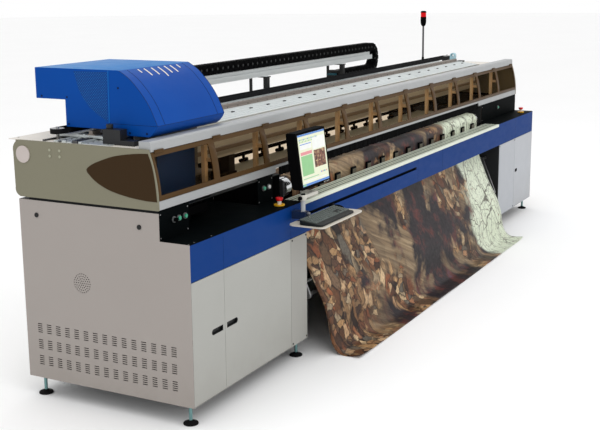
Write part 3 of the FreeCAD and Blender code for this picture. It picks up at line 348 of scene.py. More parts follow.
def panel_paint(name, colour, mask_of, rough):
    """Powder-coated sheet that is darker in patches towards the bottom, and black where mask_of gives 1."""
    g = Graph(name, Specular_IOR_Level=0.3)
    tone = g.mottled(g.noise(2.6, 4.0), linear(*colour), 0.03)
    # a darker warm grey in patches, fading out upwards from 0.1 m to 0.42 m above the floor
    low_darkening = g.times(g.spread(g.axes()[2], 0.1, 0.42, 0.3, 0.0), g.noise(9.0, 6.0, 0.65))
    tone = g.mix(mask_of(g, *g.axes()), g.mix(low_darkening, tone, linear(120, 112, 100)), linear(12, 13, 14))
    return g.finished(tone, g.noise(11.0, 6.0, 0.62), rough - 0.06, rough + 0.06, 0.25)


def carriage_metal():
    """Machined plates behind a navy sheet that covers the front of the print heads."""
    g = Graph("carriage_metal", Metallic=0.1, Specular_IOR_Level=0.1)
    front = g.below(g.axes()[1], FRONT + 0.2845)
    grain = g.noise(1.0, 4.0, vector=g.scaled((3.0, 200.0, 200.0)))
    metal = g.mix(grain, linear(92, 94, 97), linear(128, 130, 133))
    navy = g.mix(g.noise(5.0, 4.0), linear(8, 56, 124), linear(12, 66, 138))
    g.set("Base Color", g.mix(front, metal, navy))
    g.set("Roughness", g.spread(grain, 0.3, 0.7, 0.3, 0.48))
    g.set("Normal", g.bump(grain, 0.15, 0.0003))
    return g.material


def cover_paint():
    """Satin blue, with a painted highlight that makes the flat top paler."""
    g = Graph("cover_paint", Coat_Weight=0.02, Coat_Roughness=0.14, Specular_IOR_Level=0.05)
    up = g.axes(g.node("ShaderNodeNewGeometry", output=1))[2]
    side = g.mix(g.noise(1.9, 4.0), linear(3, 58, 136), linear(6, 74, 158))
    # painted highlight: faces that point up get a paler blue, standing in for the light from above
    top = g.mix(g.noise(1.4, 3.0), linear(8, 96, 164), linear(26, 120, 184))
    tone = g.mix(g.spread(up, 0.86, 0.99), side, top)
    return g.finished(tone, g.noise(14.0, 6.0, 0.6), 0.3, 0.44, 0.2, 360.0)


def smeared(name, colour, low, high, **sockets):
    """A clear sheet with faint smears in its gloss."""
    g = Graph(name, **sockets)
    smear = g.noise(3.0, 5.0, 0.6, vector=g.scaled((3.0, 3.0, 9.0)))
    g.set("Base Color", g.mottled(smear, linear(*colour), 0.15))
    g.set("Roughness", g.spread(smear, 0.35, 0.75, low, high))
    g.set("Normal", g.bump(g.noise(30.0, 2.0), 0.04, 0.002))
    return g, smear


def tinted_pane(name, colour, through, cover):
    """Tinted acrylic: it colours what shows through it, under a faint veil of its own shade."""
    g, smear = smeared(name, colour, 0.06, 0.16, Specular_IOR_Level=0.02)
    clear = g.node("ShaderNodeBsdfTransparent", {"Color": through})
    veil = g.spread(smear, 0.3, 0.8, cover * 0.8, cover * 1.2)
    g.put(g.output.inputs[0], g.node("ShaderNodeMixShader", {0: veil, 1: clear, 2: g.shader.outputs[0]}))
    return g.material


def glowing(name, colour, strength):
    """A lit panel or lens with slightly uneven brightness."""
    g = Graph(name, Roughness=0.25, Emission_Strength=strength, Specular_IOR_Level=0.2)
    grain = g.noise(30.0, 2.0)
    colour = linear(*colour)
    g.set("Base Color", g.mix(grain, shade(colour, 0.06), shade(colour, 0.1)))
    g.set("Emission Color", g.mix(grain, shade(colour, 0.94), shade(colour, 1.04)))
    return g.material


def rubber(name, colour, rough):
    """Rubber with a fine, uneven surface."""
    g = Graph(name, Specular_IOR_Level=0.04)
    colour = linear(*colour)
    g.set("Base Color", g.mix(g.noise(26.0, 6.0, 0.7), shade(colour, 0.8), shade(colour, 1.25)))
    g.set("Roughness", g.spread(g.noise(60.0, 4.0), 0.3, 0.7, rough - 0.1, rough + 0.1))
    g.set("Normal", g.bump(g.noise(700.0, 3.0), 0.5, 0.0004))
    return g.material


def bristles():
    """Black bristles in clumps."""
    g = Graph("bristles", Roughness=0.6, Specular_IOR_Level=0.01)
    strands = g.noise(1.0, 3.0, vector=g.scaled((900.0, 60.0, 9.0)))
    clumps = g.noise(1.0, 4.0, vector=g.scaled((22.0, 1.0, 3.0)))
    tone = g.mix(strands, linear(2, 2, 2), linear(10, 10, 11))
    g.set("Base Color", g.mix(g.spread(clumps, 0.55, 0.75, 0.0, 0.5), tone, linear(16, 16, 17)))
    g.set("Normal", g.bump(strands, 0.6, 0.001))
    return g.material


LEAF_TONES = [(0.0, (26, 17, 14)), (0.16, (112, 72, 44)), (0.3, (58, 40, 32)), (0.44, (190, 150, 104)),
              (0.56, (84, 58, 44)), (0.68, (146, 82, 46)), (0.8, (214, 184, 142)), (0.9, (98, 92, 82)),
              (1.0, (132, 94, 60))]
WOOD_TONES = [(0.25, (62, 48, 38)), (0.5, (138, 116, 88)), (0.72, (184, 162, 128))]
HOLLOW_TONES = [(0.3, (20, 17, 20)), (0.52, (38, 30, 34)), (0.64, (92, 46, 40)), (0.74, (70, 62, 88)),
                (0.86, (150, 128, 100))]
PICTURE_TONES = [(0.0, (60, 38, 34)), (0.4, (140, 92, 70)), (0.7, (96, 50, 48)), (1.0, (190, 160, 120))]
FILM_FROM = 0.35  # the sheet is blank this far behind the front plane, ahead of the print heads


def banner_print():
    """A printed autumn scene: litter and split wood round a dark hollow, and a pale sky behind bare twigs."""
    g = Graph("banner_print", Specular_IOR_Level=0.15)
    uv = g.node("ShaderNodeTexCoord", output=2)
    flat = g.scaled((3.24, 2.31, 1.0), uv)
    u, v, _ = g.axes(uv)

    def speck(scale, detail=3.0, roughness=0.5, distortion=0.0, output=0):
        return g.noise(scale, detail, roughness, distortion, flat, output)

    warp = g.scaled((0.2, 0.2, 0.0), speck(3.2, 5.0, 0.62, output=1))
    bent = g.node("ShaderNodeVectorMath", {0: flat, 1: warp}, operation="ADD")

    # fallen leaves: cells of two sizes, each with its own brown and dark gaps between them
    layers = []
    for size, stretch in ((17.0, (1.0, 1.6, 1.0)), (8.0, (1.5, 1.0, 1.0))):
        stretched = g.scaled(stretch, bent)
        own = g.axes(g.cells(stretched, size, output=1))[0]
        gap = g.spread(g.cells(stretched, size, "DISTANCE_TO_EDGE"), 0.0, 0.1, 0.1, 1.0)
        grey = g.node("ShaderNodeCombineColor", {0: gap, 1: gap, 2: gap})
        layers.append(g.mix(1.0, g.ramp(own, LEAF_TONES), grey, "MULTIPLY"))
    litter = g.mix(g.spread(speck(7.0, 4.0), 0.46, 0.54), *layers)
    litter = g.mix(g.spread(speck(60.0, 3.0), 0.4, 0.75, 0.0, 0.55), litter, linear(34, 24, 20))

    # split wood: planks that lean, each with its own tone, and a fine grain
    leaning = g.node("ShaderNodeVectorRotate", {"Vector": flat, "Angle": 0.42}, rotation_type="Z_AXIS")
    plank = g.axes(g.cells(g.scaled((0.25, 1.0, 1.0), leaning), 7.0, output=1))[0]
    wood = g.ramp(g.noise(1.0, 7.0, 0.68, 0.3, g.scaled((2.4, 34.0, 1.0), leaning)), WOOD_TONES)
    wood = g.mix(g.spread(plank, 0.0, 1.0, 0.0, 0.6), wood, linear(58, 46, 38))

    # a dark hollow with moss, and russet and plum patches at its rim
    hollow = g.ramp(g.noise(6.5, 6.0, 0.65, vector=bent), HOLLOW_TONES)
    ground = g.mix(g.spread(speck(1.5, 4.0, 0.55), 0.47, 0.53), wood, litter)
    rightward = g.calc("ADD", u, g.times(speck(3.0, 4.0), 0.3))
    ground = g.mix(g.spread(rightward, 0.3, 0.36), litter, ground)
    middle = g.times(g.calc("ABSOLUTE", g.minus(u, 0.52)), 0.45)
    ground = g.mix(g.spread(g.minus(speck(2.0, 5.0, 0.55, 0.4), middle), 0.4, 0.46), ground, hollow)

    # pale sky and the twigs in front of it
    sky = g.mix(speck(3.0), linear(196, 206, 180), linear(222, 228, 210))
    twigs = None
    for size, wide, strength in ((4.4, 0.02, 0.85), (10.0, 0.028, 0.7), (21.0, 0.04, 0.5)):
        edge = g.cells(g.scaled((1.0, 0.75, 1.0), bent), size, "DISTANCE_TO_EDGE")
        twig = g.spread(edge, wide * 0.3, wide, strength, 0.0)
        twigs = twig if twigs is None else g.calc("MAXIMUM", twigs, twig)
    sky = g.mix(twigs, sky, linear(58, 46, 42))
    buds = g.times(g.spread(g.cells(bent, 40.0), 0.14, 0.24, 1.0, 0.0), g.spread(speck(9.0, 2.0), 0.52, 0.56))
    sky = g.mix(buds, sky, linear(120, 66, 60))

    # the sky fills the right side and widens towards the top; the sheet is blank ahead of the print heads
    edge = g.calc("ADD", u, g.times(g.minus(speck(2.6, 5.0), 0.5), 0.3))
    lean = g.calc("ADD", edge, g.times(g.spread(v, 0.2, 0.7), 0.06))
    picture = g.mix(g.spread(lean, 0.8, 0.83), ground, sky)
    g.set("Base Color", g.mix(g.above(g.axes()[1], FRONT + FILM_FROM), picture, linear(226, 228, 224)))
    g.set("Roughness", g.spread(speck(40.0, 4.0), 0.3, 0.7, 0.4, 0.52))
    g.set("Normal", g.bump(speck(900.0, 2.0), 0.15, 0.0003))
    return g.material


def screen_picture():
    """The small picture inside the screen's program window."""
    g = Graph("screen_picture", Roughness=0.2, Emission_Strength=0.9, Specular_IOR_Level=0.2)
    tone = g.ramp(g.axes(g.cells(g.scaled((1.0, 1.0, 1.4)), 70.0, output=1))[0], PICTURE_TONES)
    g.set("Base Color", g.mix(0.92, tone, (0.0, 0.0, 0.0, 1.0)))
    g.set("Emission Color", tone)
    return g.material


# name: colour, roughness, mottle, shine, orange peel, scuffs, clear coat
COATED = {
    "fascia_blue": ((6, 52, 116), 0.5, 0.06, 0.05), "cover_dark": ((6, 22, 58), 0.5, 0.1, 0.1),
    # the lighter blue that follows cover_dark is a painted highlight on the cover's side crease
    "cover_edge": ((14, 94, 170), 0.4, 0.06, 0.1), "olive": ((122, 119, 101), 0.5, 0.04, 0.2),
    "brown": ((52, 36, 16), 0.5, 0.06, 0.1), "bronze": ((76, 55, 30), 0.4, 0.08, 0.06),
    "warm_white": ((214, 208, 198), 0.42, 0.03), "gloss_black": ((5, 8, 9), 0.55, 0.15, 0.01, 0.06, 0.08),
    "black": ((9, 9, 10), 0.6, 0.15, 0.01), "charcoal": ((34, 36, 36), 0.5, 0.12, 0.15),
    "key_black": ((20, 24, 24), 0.5, 0.12, 0.2), "grey_plastic": ((196, 194, 184), 0.45, 0.04),
    "green": ((16, 150, 112), 0.3, 0.08, 0.3, 0.25, 0.12, 0.4),
    "white": ((222, 224, 222), 0.35, 0.04, 0.3, 0.25, 0.12, 0.3),
    "film": ((230, 232, 228), 0.35, 0.02, 0.3, 0.1), "card": ((168, 134, 92), 0.8, 0.08),
    "finger_face": ((74, 68, 52), 0.4, 0.08), "grey_bristles": ((20, 21, 22), 0.6, 0.3, 0.01),
    "cable_green": ((20, 120, 80), 0.45, 0.1), "teal": ((18, 72, 84), 0.45, 0.1),
    "seam": ((8, 12, 20), 0.6, 0.1, 0.01), "key_cap": ((88, 96, 93), 0.42, 0.12),
    "board_green": ((18, 84, 52), 0.4, 0.12), "ink_cyan": ((0, 130, 190), 0.15),
    "ink_magenta": ((180, 10, 100), 0.15), "ink_yellow": ((240, 204, 20), 0.15),
    "ink_black": ((12, 12, 14), 0.15), "ink_pale_cyan": ((120, 196, 224), 0.15),
    "ink_pale_magenta": ((226, 130, 176), 0.15),
}
# name: colour, roughness, metal, depth of the grooves, scale of the grain
BRUSHED = {
    "rail_bronze": ((136, 126, 118), 0.4, 0.4), "aluminium": ((206, 212, 212), 0.36, 0.6),
    "steel": ((150, 150, 150), 0.3), "chrome": ((208, 210, 212), 0.14, 0.95, 0.06),
    "dark_steel": ((86, 86, 88), 0.36, 0.8), "zinc": ((112, 150, 150), 0.3, 0.7, 0.18, (240.0, 240.0, 4.0)),
}
# name: mask of the first colour, first colour, second colour, roughness, metal
TWO_TONE_AND_SHADE = {
    "bezel_paint": (collars, (226, 170, 30), (92, 94, 94), 0.34, 0.2),
    "stop_paint": (stems, (214, 212, 206), (208, 26, 30), 0.3),
    "bracket_paint": (rail_bracket, (160, 196, 206), (30, 31, 33), 0.4),
    # the darker green is painted shade in the table's grooves
    "table_paint": (grooves, (66, 82, 60), (214, 220, 205), 0.34, 0.2),
    "cap_paint": (plugs, (150, 150, 130), (186, 176, 171), 0.45),
    "trim_paint": (trim_posts, (238, 218, 190), (160, 162, 163), 0.42, 0.2),
    "tray_paint": (tray_legs, (20, 21, 22), (190, 194, 194), 0.4, 0.2),
}
# name: colour, mask of the black areas, roughness
PANELS = {
    "side_paint": ((154, 147, 142), beyond_sheet, 0.5), "door_paint": ((160, 160, 155), inside_pulls, 0.46),
    "right_paint": ((172, 175, 180), inside_pulls, 0.46),
}
# name: colour, roughness
RUBBERS = {"rubber": ((22, 22, 23), 0.72), "belt": ((24, 24, 26), 0.6), "roller": ((70, 74, 72), 0.5)}
# name: colour, strength
GLOWING = {
    "lens": ((232, 20, 28), 0.7),
    "screen_white": ((246, 248, 244), 0.9), "screen_cream": ((238, 242, 214), 0.9),
    "screen_green": ((150, 206, 146), 0.9), "screen_blue": ((96, 142, 214), 0.9),
    "screen_pink": ((232, 150, 156), 0.9), "screen_mint": ((176, 214, 176), 0.9),
}
LOOKS = {
    "shell_paint": shell_paint(), "cover_paint": cover_paint(), "carriage_metal": carriage_metal(),
    "stand_paint": stand_paint(), "bristles": bristles(), "print": banner_print(),
    "screen_picture": screen_picture(),
    "cover_mesh": perforated("cover_mesh", (12, 58, 124), (26, 116, 190), 0.014),
    "tint": tinted_pane("tint", (58, 42, 26), (0.84, 0.76, 0.65, 1.0), 0.05),
    "tank": smeared("tank", (214, 216, 206), 0.25, 0.35, Alpha=0.7, IOR=1.49,
                    Specular_IOR_Level=0.12)[0].material,
}
for recipe, rows in ((coated, COATED), (brushed, BRUSHED), (two_tone_and_shade, TWO_TONE_AND_SHADE), (panel_paint, PANELS),
                     (rubber, RUBBERS), (glowing, GLOWING)):
    LOOKS.update({name: recipe(name, *row) for name, row in rows.items()})


# ---- mesh helpers --------------------------------------------------------------------------------------
def block(bm, low, high, look=0):
    """Add a box between two corners."""
    corners = [bm.verts.new((x, y, z)) for x in (low[0], high[0]) for y in (low[1], high[1])
               for z in (low[2], high[2])]
    faces = [(0, 1, 3, 2), (4, 6, 7, 5), (0, 4, 5, 1), (2, 3, 7, 6), (0, 2, 6, 4), (1, 5, 7, 3)]
    for face in faces:
        bm.faces.new([corners[index] for index in face]).material_index = look
    return corners


def skin(bm, rings, look=0, smooth=True):
    """Add a closed body through rings of points that all have the same count."""
    rows = [[bm.verts.new(point) for point in ring] for ring in rings]
    count = len(rows[0])
    faces = []
    for near, far in zip(rows, rows[1:]):
        for k in range(count):
            faces.append(bm.faces.new((near[k], near[(k + 1) % count], far[(k + 1) % count], far[k])))
    for face in faces:
        face.smooth = smooth
    faces += [bm.faces.new(reversed(rows[0])), bm.faces.new(rows[-1])]
    for face in faces:
        face.material_index = look
    return [vertex for row in rows for vertex in row]


def circle(centre, along, radius, sides, reference=None):
    """Points around a line, starting from a reference direction."""
    along = Vector(along).normalized()
    side = along.cross(Vector(reference)).normalized() if reference else along.orthogonal().normalized()
    other = along.cross(side)
    angles = [tau * k / sides for k in range(sides)]
    return [Vector(centre) + (side * cos(angle) + other * sin(angle)) * radius for angle in angles]


def turned(bm, start, axis, profile, sides=24, look=0, smooth=True):
    """Add a turned shape: profile gives (distance along the axis, radius) from its start point, in metres."""
    axis = Vector(axis).normalized()
    rings = [circle(Vector(start) + axis * distance, axis, radius, sides) for distance, radius in profile]
    return skin(bm, rings, look, smooth)


def rod(bm, start, end, radius, sides=20, look=0):
    """Add a rod with slightly eased ends."""
    along = Vector(end) - Vector(start)
    ease = min(radius * 0.15, along.length * 0.2)
    far = along.length
    profile = [(0, radius - ease), (ease, radius), (far - ease, radius), (far, radius - ease)]
    return turned(bm, start, along, profile, sides, look)


def tube(bm, path, radius, sides=8, look=0, reference=(1, 0, 0)):
    """Add a tube along a path that stays square to the reference direction."""
    rings = []
    for index, point in enumerate(path):
        ahead = Vector(path[min(index + 1, len(path) - 1)]) - Vector(path[max(index - 1, 0)])
        rings.append(circle(point, ahead, radius, sides, reference))
    return skin(bm, rings, look)


def extruded(bm, outline, x0, x1, look=0):
    """Add a side outline of (y, z) points, drawn out along X."""
    return skin(bm, [[(x, y, z) for y, z in outline] for x in (x0, x1)], look, smooth=False)


def screw(bm, spot, axis, radius, height, look=0):
    """Add a button head with a round socket."""
    profile = [(0, radius), (height * 0.5, radius), (height * 0.85, radius * 0.86), (height, radius * 0.62),
               (height, radius * 0.42), (height * 0.35, radius * 0.4)]
    turned(bm, spot, axis, [(distance * MM, size * MM) for distance, size in profile], 12, look)


def settle(bm):
    """Rebuild the mesh in the order of its places, because a bevel's own order varies between runs."""
    faces = []
    for face in bm.faces:
        ring = [tuple(vertex.co) for vertex in face.verts]
        first = ring.index(min(ring))
        faces.append((ring[first:] + ring[:first], face.material_index))
    bm.clear()
    places = sorted({place for ring, _ in faces for place in ring})
    vertices = {place: bm.verts.new(place) for place in places}
    for ring, look in sorted(faces):
        bm.faces.new([vertices[place] for place in ring]).material_index = look


def arc(centre, radius, start, stop, steps):
    """Points on a circle between two angles in degrees."""
    angles = [radians(start + (stop - start) * k / steps) for k in range(steps + 1)]
    return [(centre[0] + radius * cos(a), centre[1] + radius * sin(a)) for a in angles]


def soften(made, width):
    """Ease the hard edges and shade the faces smoothly up to them."""
    if width:
        bevel = made.modifiers.new("eased_edges", "BEVEL")
        bevel.width = width
        bevel.segments = 2
        bevel.limit_method = "ANGLE"
        bevel.angle_limit = radians(32)
        bevel.harden_normals = True


def piece(name, bm, body, looks, bevel=0.0, ride=True):
    """Turn a mesh into a named piece that rides on a body."""
    bmesh.ops.recalc_face_normals(bm, faces=bm.faces)
    mesh = bpy.data.meshes.new(name)
    bm.to_mesh(mesh)
    bm.free()
    for look in ([looks] if isinstance(looks, str) else looks):
        mesh.materials.append(LOOKS[look])
    mesh.shade_smooth()
    mesh.set_sharp_from_angle(angle=radians(34))
    made = bpy.data.objects.new(name, mesh)
    bpy.context.scene.collection.objects.link(made)
    soften(made, bevel)
    if ride:
        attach(made, body)
    return made


# ---- CAD parts that stay, with a finish and eased edges ------------------------------------------------
# finish, width of the eased edges in mm, and the CAD nodes that have them
CAD_LOOKS = [
    ("shell_paint", 0.6, "cabinet_shell"),
    ("side_paint", 0.5, "end_panels"),
    ("door_paint", 0.8, "narrow_door wide_door"),
    ("right_paint", 0.8, "right_door"),
    ("fascia_blue", 0.8, "front_fascia"),
    ("table_paint", 0.7, "table_profile"),
    ("gloss_black", 0.6, "recess_panels"),
    ("bezel_paint", 1.0, "control_bezels"),
    ("green", 1.5, "green_button_1 green_button_2 green_button_3 green_button_4"),
    ("white", 1.5, "white_button"),
    ("black", 1.2, "selector"),
    ("stop_paint", 2.5, "left_stop_button right_stop_button"),
    ("olive", 2.0, "housing_ends"),
    ("brown", 0.6, "end_accents"),
    ("cap_paint", 1.8, "end_caps"),
    ("trim_paint", 1.2, "housing_trims"),
    ("warm_white", 0.8, "rear_cover"),
    ("bronze", 1.0, "canopy_frame"),
    ("tint", 0.0, "canopy_glazing"),
    ("aluminium", 1.2, "print_beam"),
    ("rail_bronze", 1.0, "linear_rails"),
    ("belt", 0.4, "drive_belt"),
    ("steel", 1.0, "drive_pulley idler_pulley"),
    ("black", 2.0, "drive_motors monitor_case"),
    ("tray_paint", 0.8, "chain_tray"),
    ("aluminium", 0.8, "vacuum_platen"),
    ("dark_steel", 1.0, "roller_brackets"),
    ("chrome", 1.0, "front_roller"),
    ("roller", 1.0, "feed_roller"),
    ("black", 1.0, "pinch_rollers capping_station"),
    ("steel", 1.5, "tension_bar"),
    ("carriage_metal", 1.0, "carriage_plate"),
    ("charcoal", 1.0, "print_heads"),
    ("black", 0.8, "fan_rotor"),
    ("stand_paint", 1.5, "monitor_stand"),
    ("grey_plastic", 1.5, "monitor_arm"),
    ("bracket_paint", 1.2, "beam_end_brackets"),
]


def finish_cad_parts():
    """Give the CAD nodes their materials, and ease their edges once their faces are joined."""
    for look, ease, names in CAD_LOOKS:
        for name in names.split():
            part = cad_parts[name]
            part.data.materials.clear()
            part.data.materials.append(LOOKS[look])
            if ease:
                part.modifiers.new("joined_corners", "WELD").merge_threshold = 0.03 * MM
                soften(part, ease * MM)


# ---- banner --------------------------------------------------------------------------------------------
COLUMNS = 90  # faces across the sheet
FREE_LENGTH = 0.9  # how much of the sheet hangs free or lies on the floor, and so may swell
FLOOR_LENGTH = 0.14  # its end, whose edge and corners curl up
CORNER_WIDTH = 0.16
# Centre line of the sheet below the front roller, in metres from the front plane and the floor.
DROP = [(0.129, 0.905), (0.122, 0.780), (0.100, 0.670), (0.062, 0.575), (0.026, 0.487), (-0.024, 0.390),
        (-0.070, 0.300), (-0.098, 0.205), (-0.112, 0.120), (-0.134, 0.052), (-0.170, 0.014), (-0.215, 0.003),
        (-0.299, 0.002)]


def smooth_line(points, step):
    """A Catmull-Rom line through the points, with a point about every step."""
    line = []
    for k in range(len(points) - 1):
        a, b = points[max(k - 1, 0)], points[k]
        c, d = points[k + 1], points[min(k + 2, len(points) - 1)]
        count = max(1, round(hypot(c[0] - b[0], c[1] - b[1]) / step))
        for n in range(count):
            t = n / count
            line.append(tuple(
                0.5 * (2 * b[i] + (c[i] - a[i]) * t + (2 * a[i] - 5 * b[i] + 4 * c[i] - d[i]) * t * t
                       + (3 * b[i] - a[i] - 3 * c[i] + d[i]) * t ** 3) for i in (0, 1)))
    return [*line, points[-1]]


def banner():
    """The printed sheet, from the media roll over both rollers and the platen and down to the floor."""
    feed, front, sheet = Span("feed_roller"), Span("front_roller"), Span("printed_banner")
    reach = front.size.z / 2 + 0.0009
    rear = feed.middle.y + reach
    web = [(rear, sheet.z0 + (feed.middle.z - sheet.z0) * k / 16) for k in range(16)]
    web += arc((feed.middle.y, feed.middle.z), reach, 0, 90, 12)
    top = front.middle.z + reach
    web += [(feed.middle.y + (front.middle.y - feed.middle.y) * k / 14, top) for k in range(1, 14)]
    web += arc((front.middle.y, front.middle.z), reach, 90, 180, 12)
    web += smooth_line([(FRONT + y, z) for y, z in DROP], 0.016)
    lengths = [0.0]
    for (y0, z0), (y1, z1) in zip(web, web[1:]):
        lengths.append(lengths[-1] + hypot(y1 - y0, z1 - z0))
    total = lengths[-1]
    width = sheet.size.x
    bm = bmesh.new()
    uv = bm.loops.layers.uv.new("flat")
    grid = []
    for row, (y, z) in enumerate(web):
        before, after = web[max(row - 1, 0)], web[min(row + 1, len(web) - 1)]
        tangent = Vector((0, after[0] - before[0], after[1] - before[1])).normalized()
        out = Vector((0, -tangent.z, tangent.y))
        free = max(0.0, (lengths[row] - (total - FREE_LENGTH)) / FREE_LENGTH)
        on_floor = max(0.0, (lengths[row] - total + FLOOR_LENGTH) / FLOOR_LENGTH)
        line = []
        for column in range(COLUMNS + 1):
            u = column / COLUMNS
            waves = sin(tau * (1.4 * u + 0.15)) + 0.5 * sin(tau * (3.3 * u + 0.4))
            swell = 0.006 * free * (1 - on_floor) * waves
            corner = max(0.0, 1 - min(u, 1 - u) * width / CORNER_WIDTH) ** 2
            lift = on_floor ** 2 * (0.012 * corner + 0.003 * (1 + sin(tau * (2.6 * u + 0.2))))
            spot = Vector((sheet.x0 + width * u, y, z)) + out * swell + Vector((0, 0, lift))
            spot.z = max(spot.z, 0.0012)
            line.append(bm.verts.new(spot))
        grid.append(line)
    for row in range(len(web) - 1):
        for column in range(COLUMNS):
            marks = ((column, row), (column + 1, row), (column + 1, row + 1), (column, row + 1))
            face = bm.faces.new([grid[r][c] for c, r in marks])
            for loop, (c, r) in zip(face.loops, marks):
                loop[uv].uv = (c / COLUMNS, 1 - lengths[r] / total)
    made = piece("banner", bm, "frame", "print")
    thickness = made.modifiers.new("vinyl_thickness", "SOLIDIFY")
    thickness.thickness = 0.5 * MM
    thickness.offset = 0.0
    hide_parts("printed_banner")


# ---- carriage cover ------------------------------------------------------------------------------------
# Side outline, screws and mesh panel as (depth, height) in mm; the front seams' distance from the sides.
COVER_FRONT = [(469, 1700), (408, 1663), (355, 1612), (320, 1570), (290, 1525), (268, 1480), (250, 1440)]
COVER_REST = [(262, 1418), (278, 1400), (300, 1385), (436, 1385), (450, 1410), (803, 1410), (803, 1545),
              (988, 1545), (988, 1700)]
COVER_SCREWS = [(473, 1615), (412, 1400), (312, 1402), (951, 1558), (790, 1558), (786, 1424)]
COVER_MESH = [(740, 1688), (536, 1690), (543, 1450), (596, 1476), (650, 1513), (690, 1560), (715, 1604)]
COVER_BAND = 65
# The slots' middles along X and how far they reach down the front from the top edge, in mm.
SLOT_X = (-2576, -2525, -2465, -2407, -2352, -2300, -2243)
SLOT_REACH = (44, 80, 78, 96, 78, 79, 46)


def strip(bm, points, x, width, rise, look):
    """A flat strip laid along a profile of (y, z) points at one x."""
    rings = []
    for k, point in enumerate(points):
        before, after = points[max(k - 1, 0)], points[min(k + 1, len(points) - 1)]
        length = hypot(after[0] - before[0], after[1] - before[1])
        out = ((after[1] - before[1]) / length, (before[0] - after[0]) / length)
        rings.append([at(x + side * width / 2, point[0] + out[0] * lift, point[1] + out[1] * lift)
                      for side, lift in ((-1, -1.0), (1, -1.0), (1, rise), (-1, rise))])
    skin(bm, rings, look, False)


def cover():
    """The carriage's cover: flat top, curved front with slots and seams, skirt and rear overhang."""
    box = Span("carriage_cover")
    curve = smooth_line(COVER_FRONT, 9)
    left, right = box.x0 / MM, box.x1 / MM
    bm = bmesh.new()
    skin(bm, [[at(x, y, z) for y, z in [*curve, *COVER_REST]] for x in (left, right)], smooth=False)
    shell = piece("carriage_cover_shell", bm, "carriage", "cover_paint", 2.5 * MM)
    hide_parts("carriage_cover")

    bm = bmesh.new()
    for x in (left + 2.5, left + COVER_BAND, right - COVER_BAND, right - 2.5):
        strip(bm, curve[1:], x, 2.4, 0.7, 0)
    for x, reach in zip(SLOT_X, SLOT_REACH):
        run = [point for point in curve if 8 < hypot(point[0] - curve[0][0], point[1] - curve[0][1]) < reach]
        strip(bm, run, x, 9.0, 1.3, 1)
    low = at(left, COVER_FRONT[-1][0], 1440)
    block(bm, low + Vector((0.003, -0.0003, -0.0008)), (right * MM - 0.003, low.y + 0.003, low.z + 0.0008), 0)
    for face, out in ((left, -1), (right, 1)):
        side = face * MM
        spans = sorted((side - 0.002 * out, side + 0.0003 * out))
        block(bm, (spans[0], low.y + 0.003, low.z - 0.0008), (spans[1], deep(533), low.z + 0.0008), 0)
        # painted highlight: a lighter blue bead on each side's crease stands in for the light that the bend
        # catches
        rod(bm, at(face, 529, 1696), at(face, 533, 1441), 3.2 * MM, 12, 2)
        for y, z in COVER_SCREWS:
            screw(bm, at(face, y, z), (out, 0, 0), 5.5, 1.6, 0)
        skin(bm, [[at(x, y, z) for y, z in COVER_MESH] for x in (face - out, face + 0.6 * out)], 3, False)
    piece("carriage_cover_details", bm, "carriage",
          ["cover_dark", "warm_white", "cover_edge", "cover_mesh"])


def left_deck():
    """The ribbed plate and rail that carry the beam's lines on over the left deck sheet."""
    deck, beam = Span("rear_cover"), Span("print_beam")
    top = at(0, 0, 1350).z
    left, right = deck.x0 + 0.004, beam.x0 - 0.004
    bm = bmesh.new()
    for start, stop, rise, look in ((446, 612, 3, 0), (616, 634, 10, 0), (640, 672, 14, 1), (678, 706, 6, 0),
                                    (712, 738, 10, 0), (744, 756, 5, 1), (762, 786, 8, 0), (846, 858, 8, 1)):
        block(bm, (left, deep(start), top), (right, deep(stop), top + rise * MM), look)
    for y, rise in ((470, 3), (590, 3), (656, 14), (724, 10)):
        for x in shared(left + 0.02, right - 0.02, 3):
            screw(bm, (x, deep(y), top + rise * MM), UP, 4.5, 1.6, 2)
    piece("left_deck_profiles", bm, "frame", ["aluminium", "dark_steel", "black"], 0.4 * MM)


# ---- end accents ---------------------------------------------------------------------------------------
ACCENT = [(170, 1105), (205, 1105), (242, 1106), (338, 1116), (442, 1138), (517, 1170), (561, 1204), (579, 1230),
          (543, 1258), (480, 1284), (403, 1308), (305, 1324), (240, 1330), (213, 1331)]
ACCENT_EDGE = [(213, 1331), (194, 1280), (182, 1222), (175, 1165), (170, 1105)]


def end_accents():
    """The brown leaf shapes on the housing's two ends, with a rounded tip and an eased rim."""
    box = Span("end_accents")
    outline = [*smooth_line(ACCENT, 14)[:-1], *smooth_line(ACCENT_EDGE, 14)[:-1]]
    middle = (sum(y for y, _ in outline) / len(outline), sum(z for _, z in outline) / len(outline))
    bm = bmesh.new()
    for outer, inner in ((box.x0, box.x0 + 0.002), (box.x1, box.x1 - 0.002)):
        rings = []
        for x, shrink in ((inner, 1.0), (outer + (inner - outer) * 0.4, 1.0), (outer, 0.994)):
            ring = []
            for y, z in outline:
                spot = at(0, middle[0] + (y - middle[0]) * shrink, middle[1] + (z - middle[1]) * shrink)
                ring.append(Vector((x, spot.y, spot.z)))
            rings.append(ring)
        skin(bm, rings, 0, False)
    made = piece("end_accents_shaped", bm, "frame", "brown")
    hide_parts("end_accents")


# ---- feet, fingers and brush ---------------------------------------------------------------------------
FOOT_X = (-2800, -1710, 1910, 2800)
FOOT_Y = (56, 965)
PAD_PROFILE = [(0, 35.5), (1.5, 37.5), (6, 37.5), (9, 35.5), (11, 29), (14, 18), (19, 13.5), (21, 9)]
THREAD_FOOT, THREAD_TOP = 19, 91


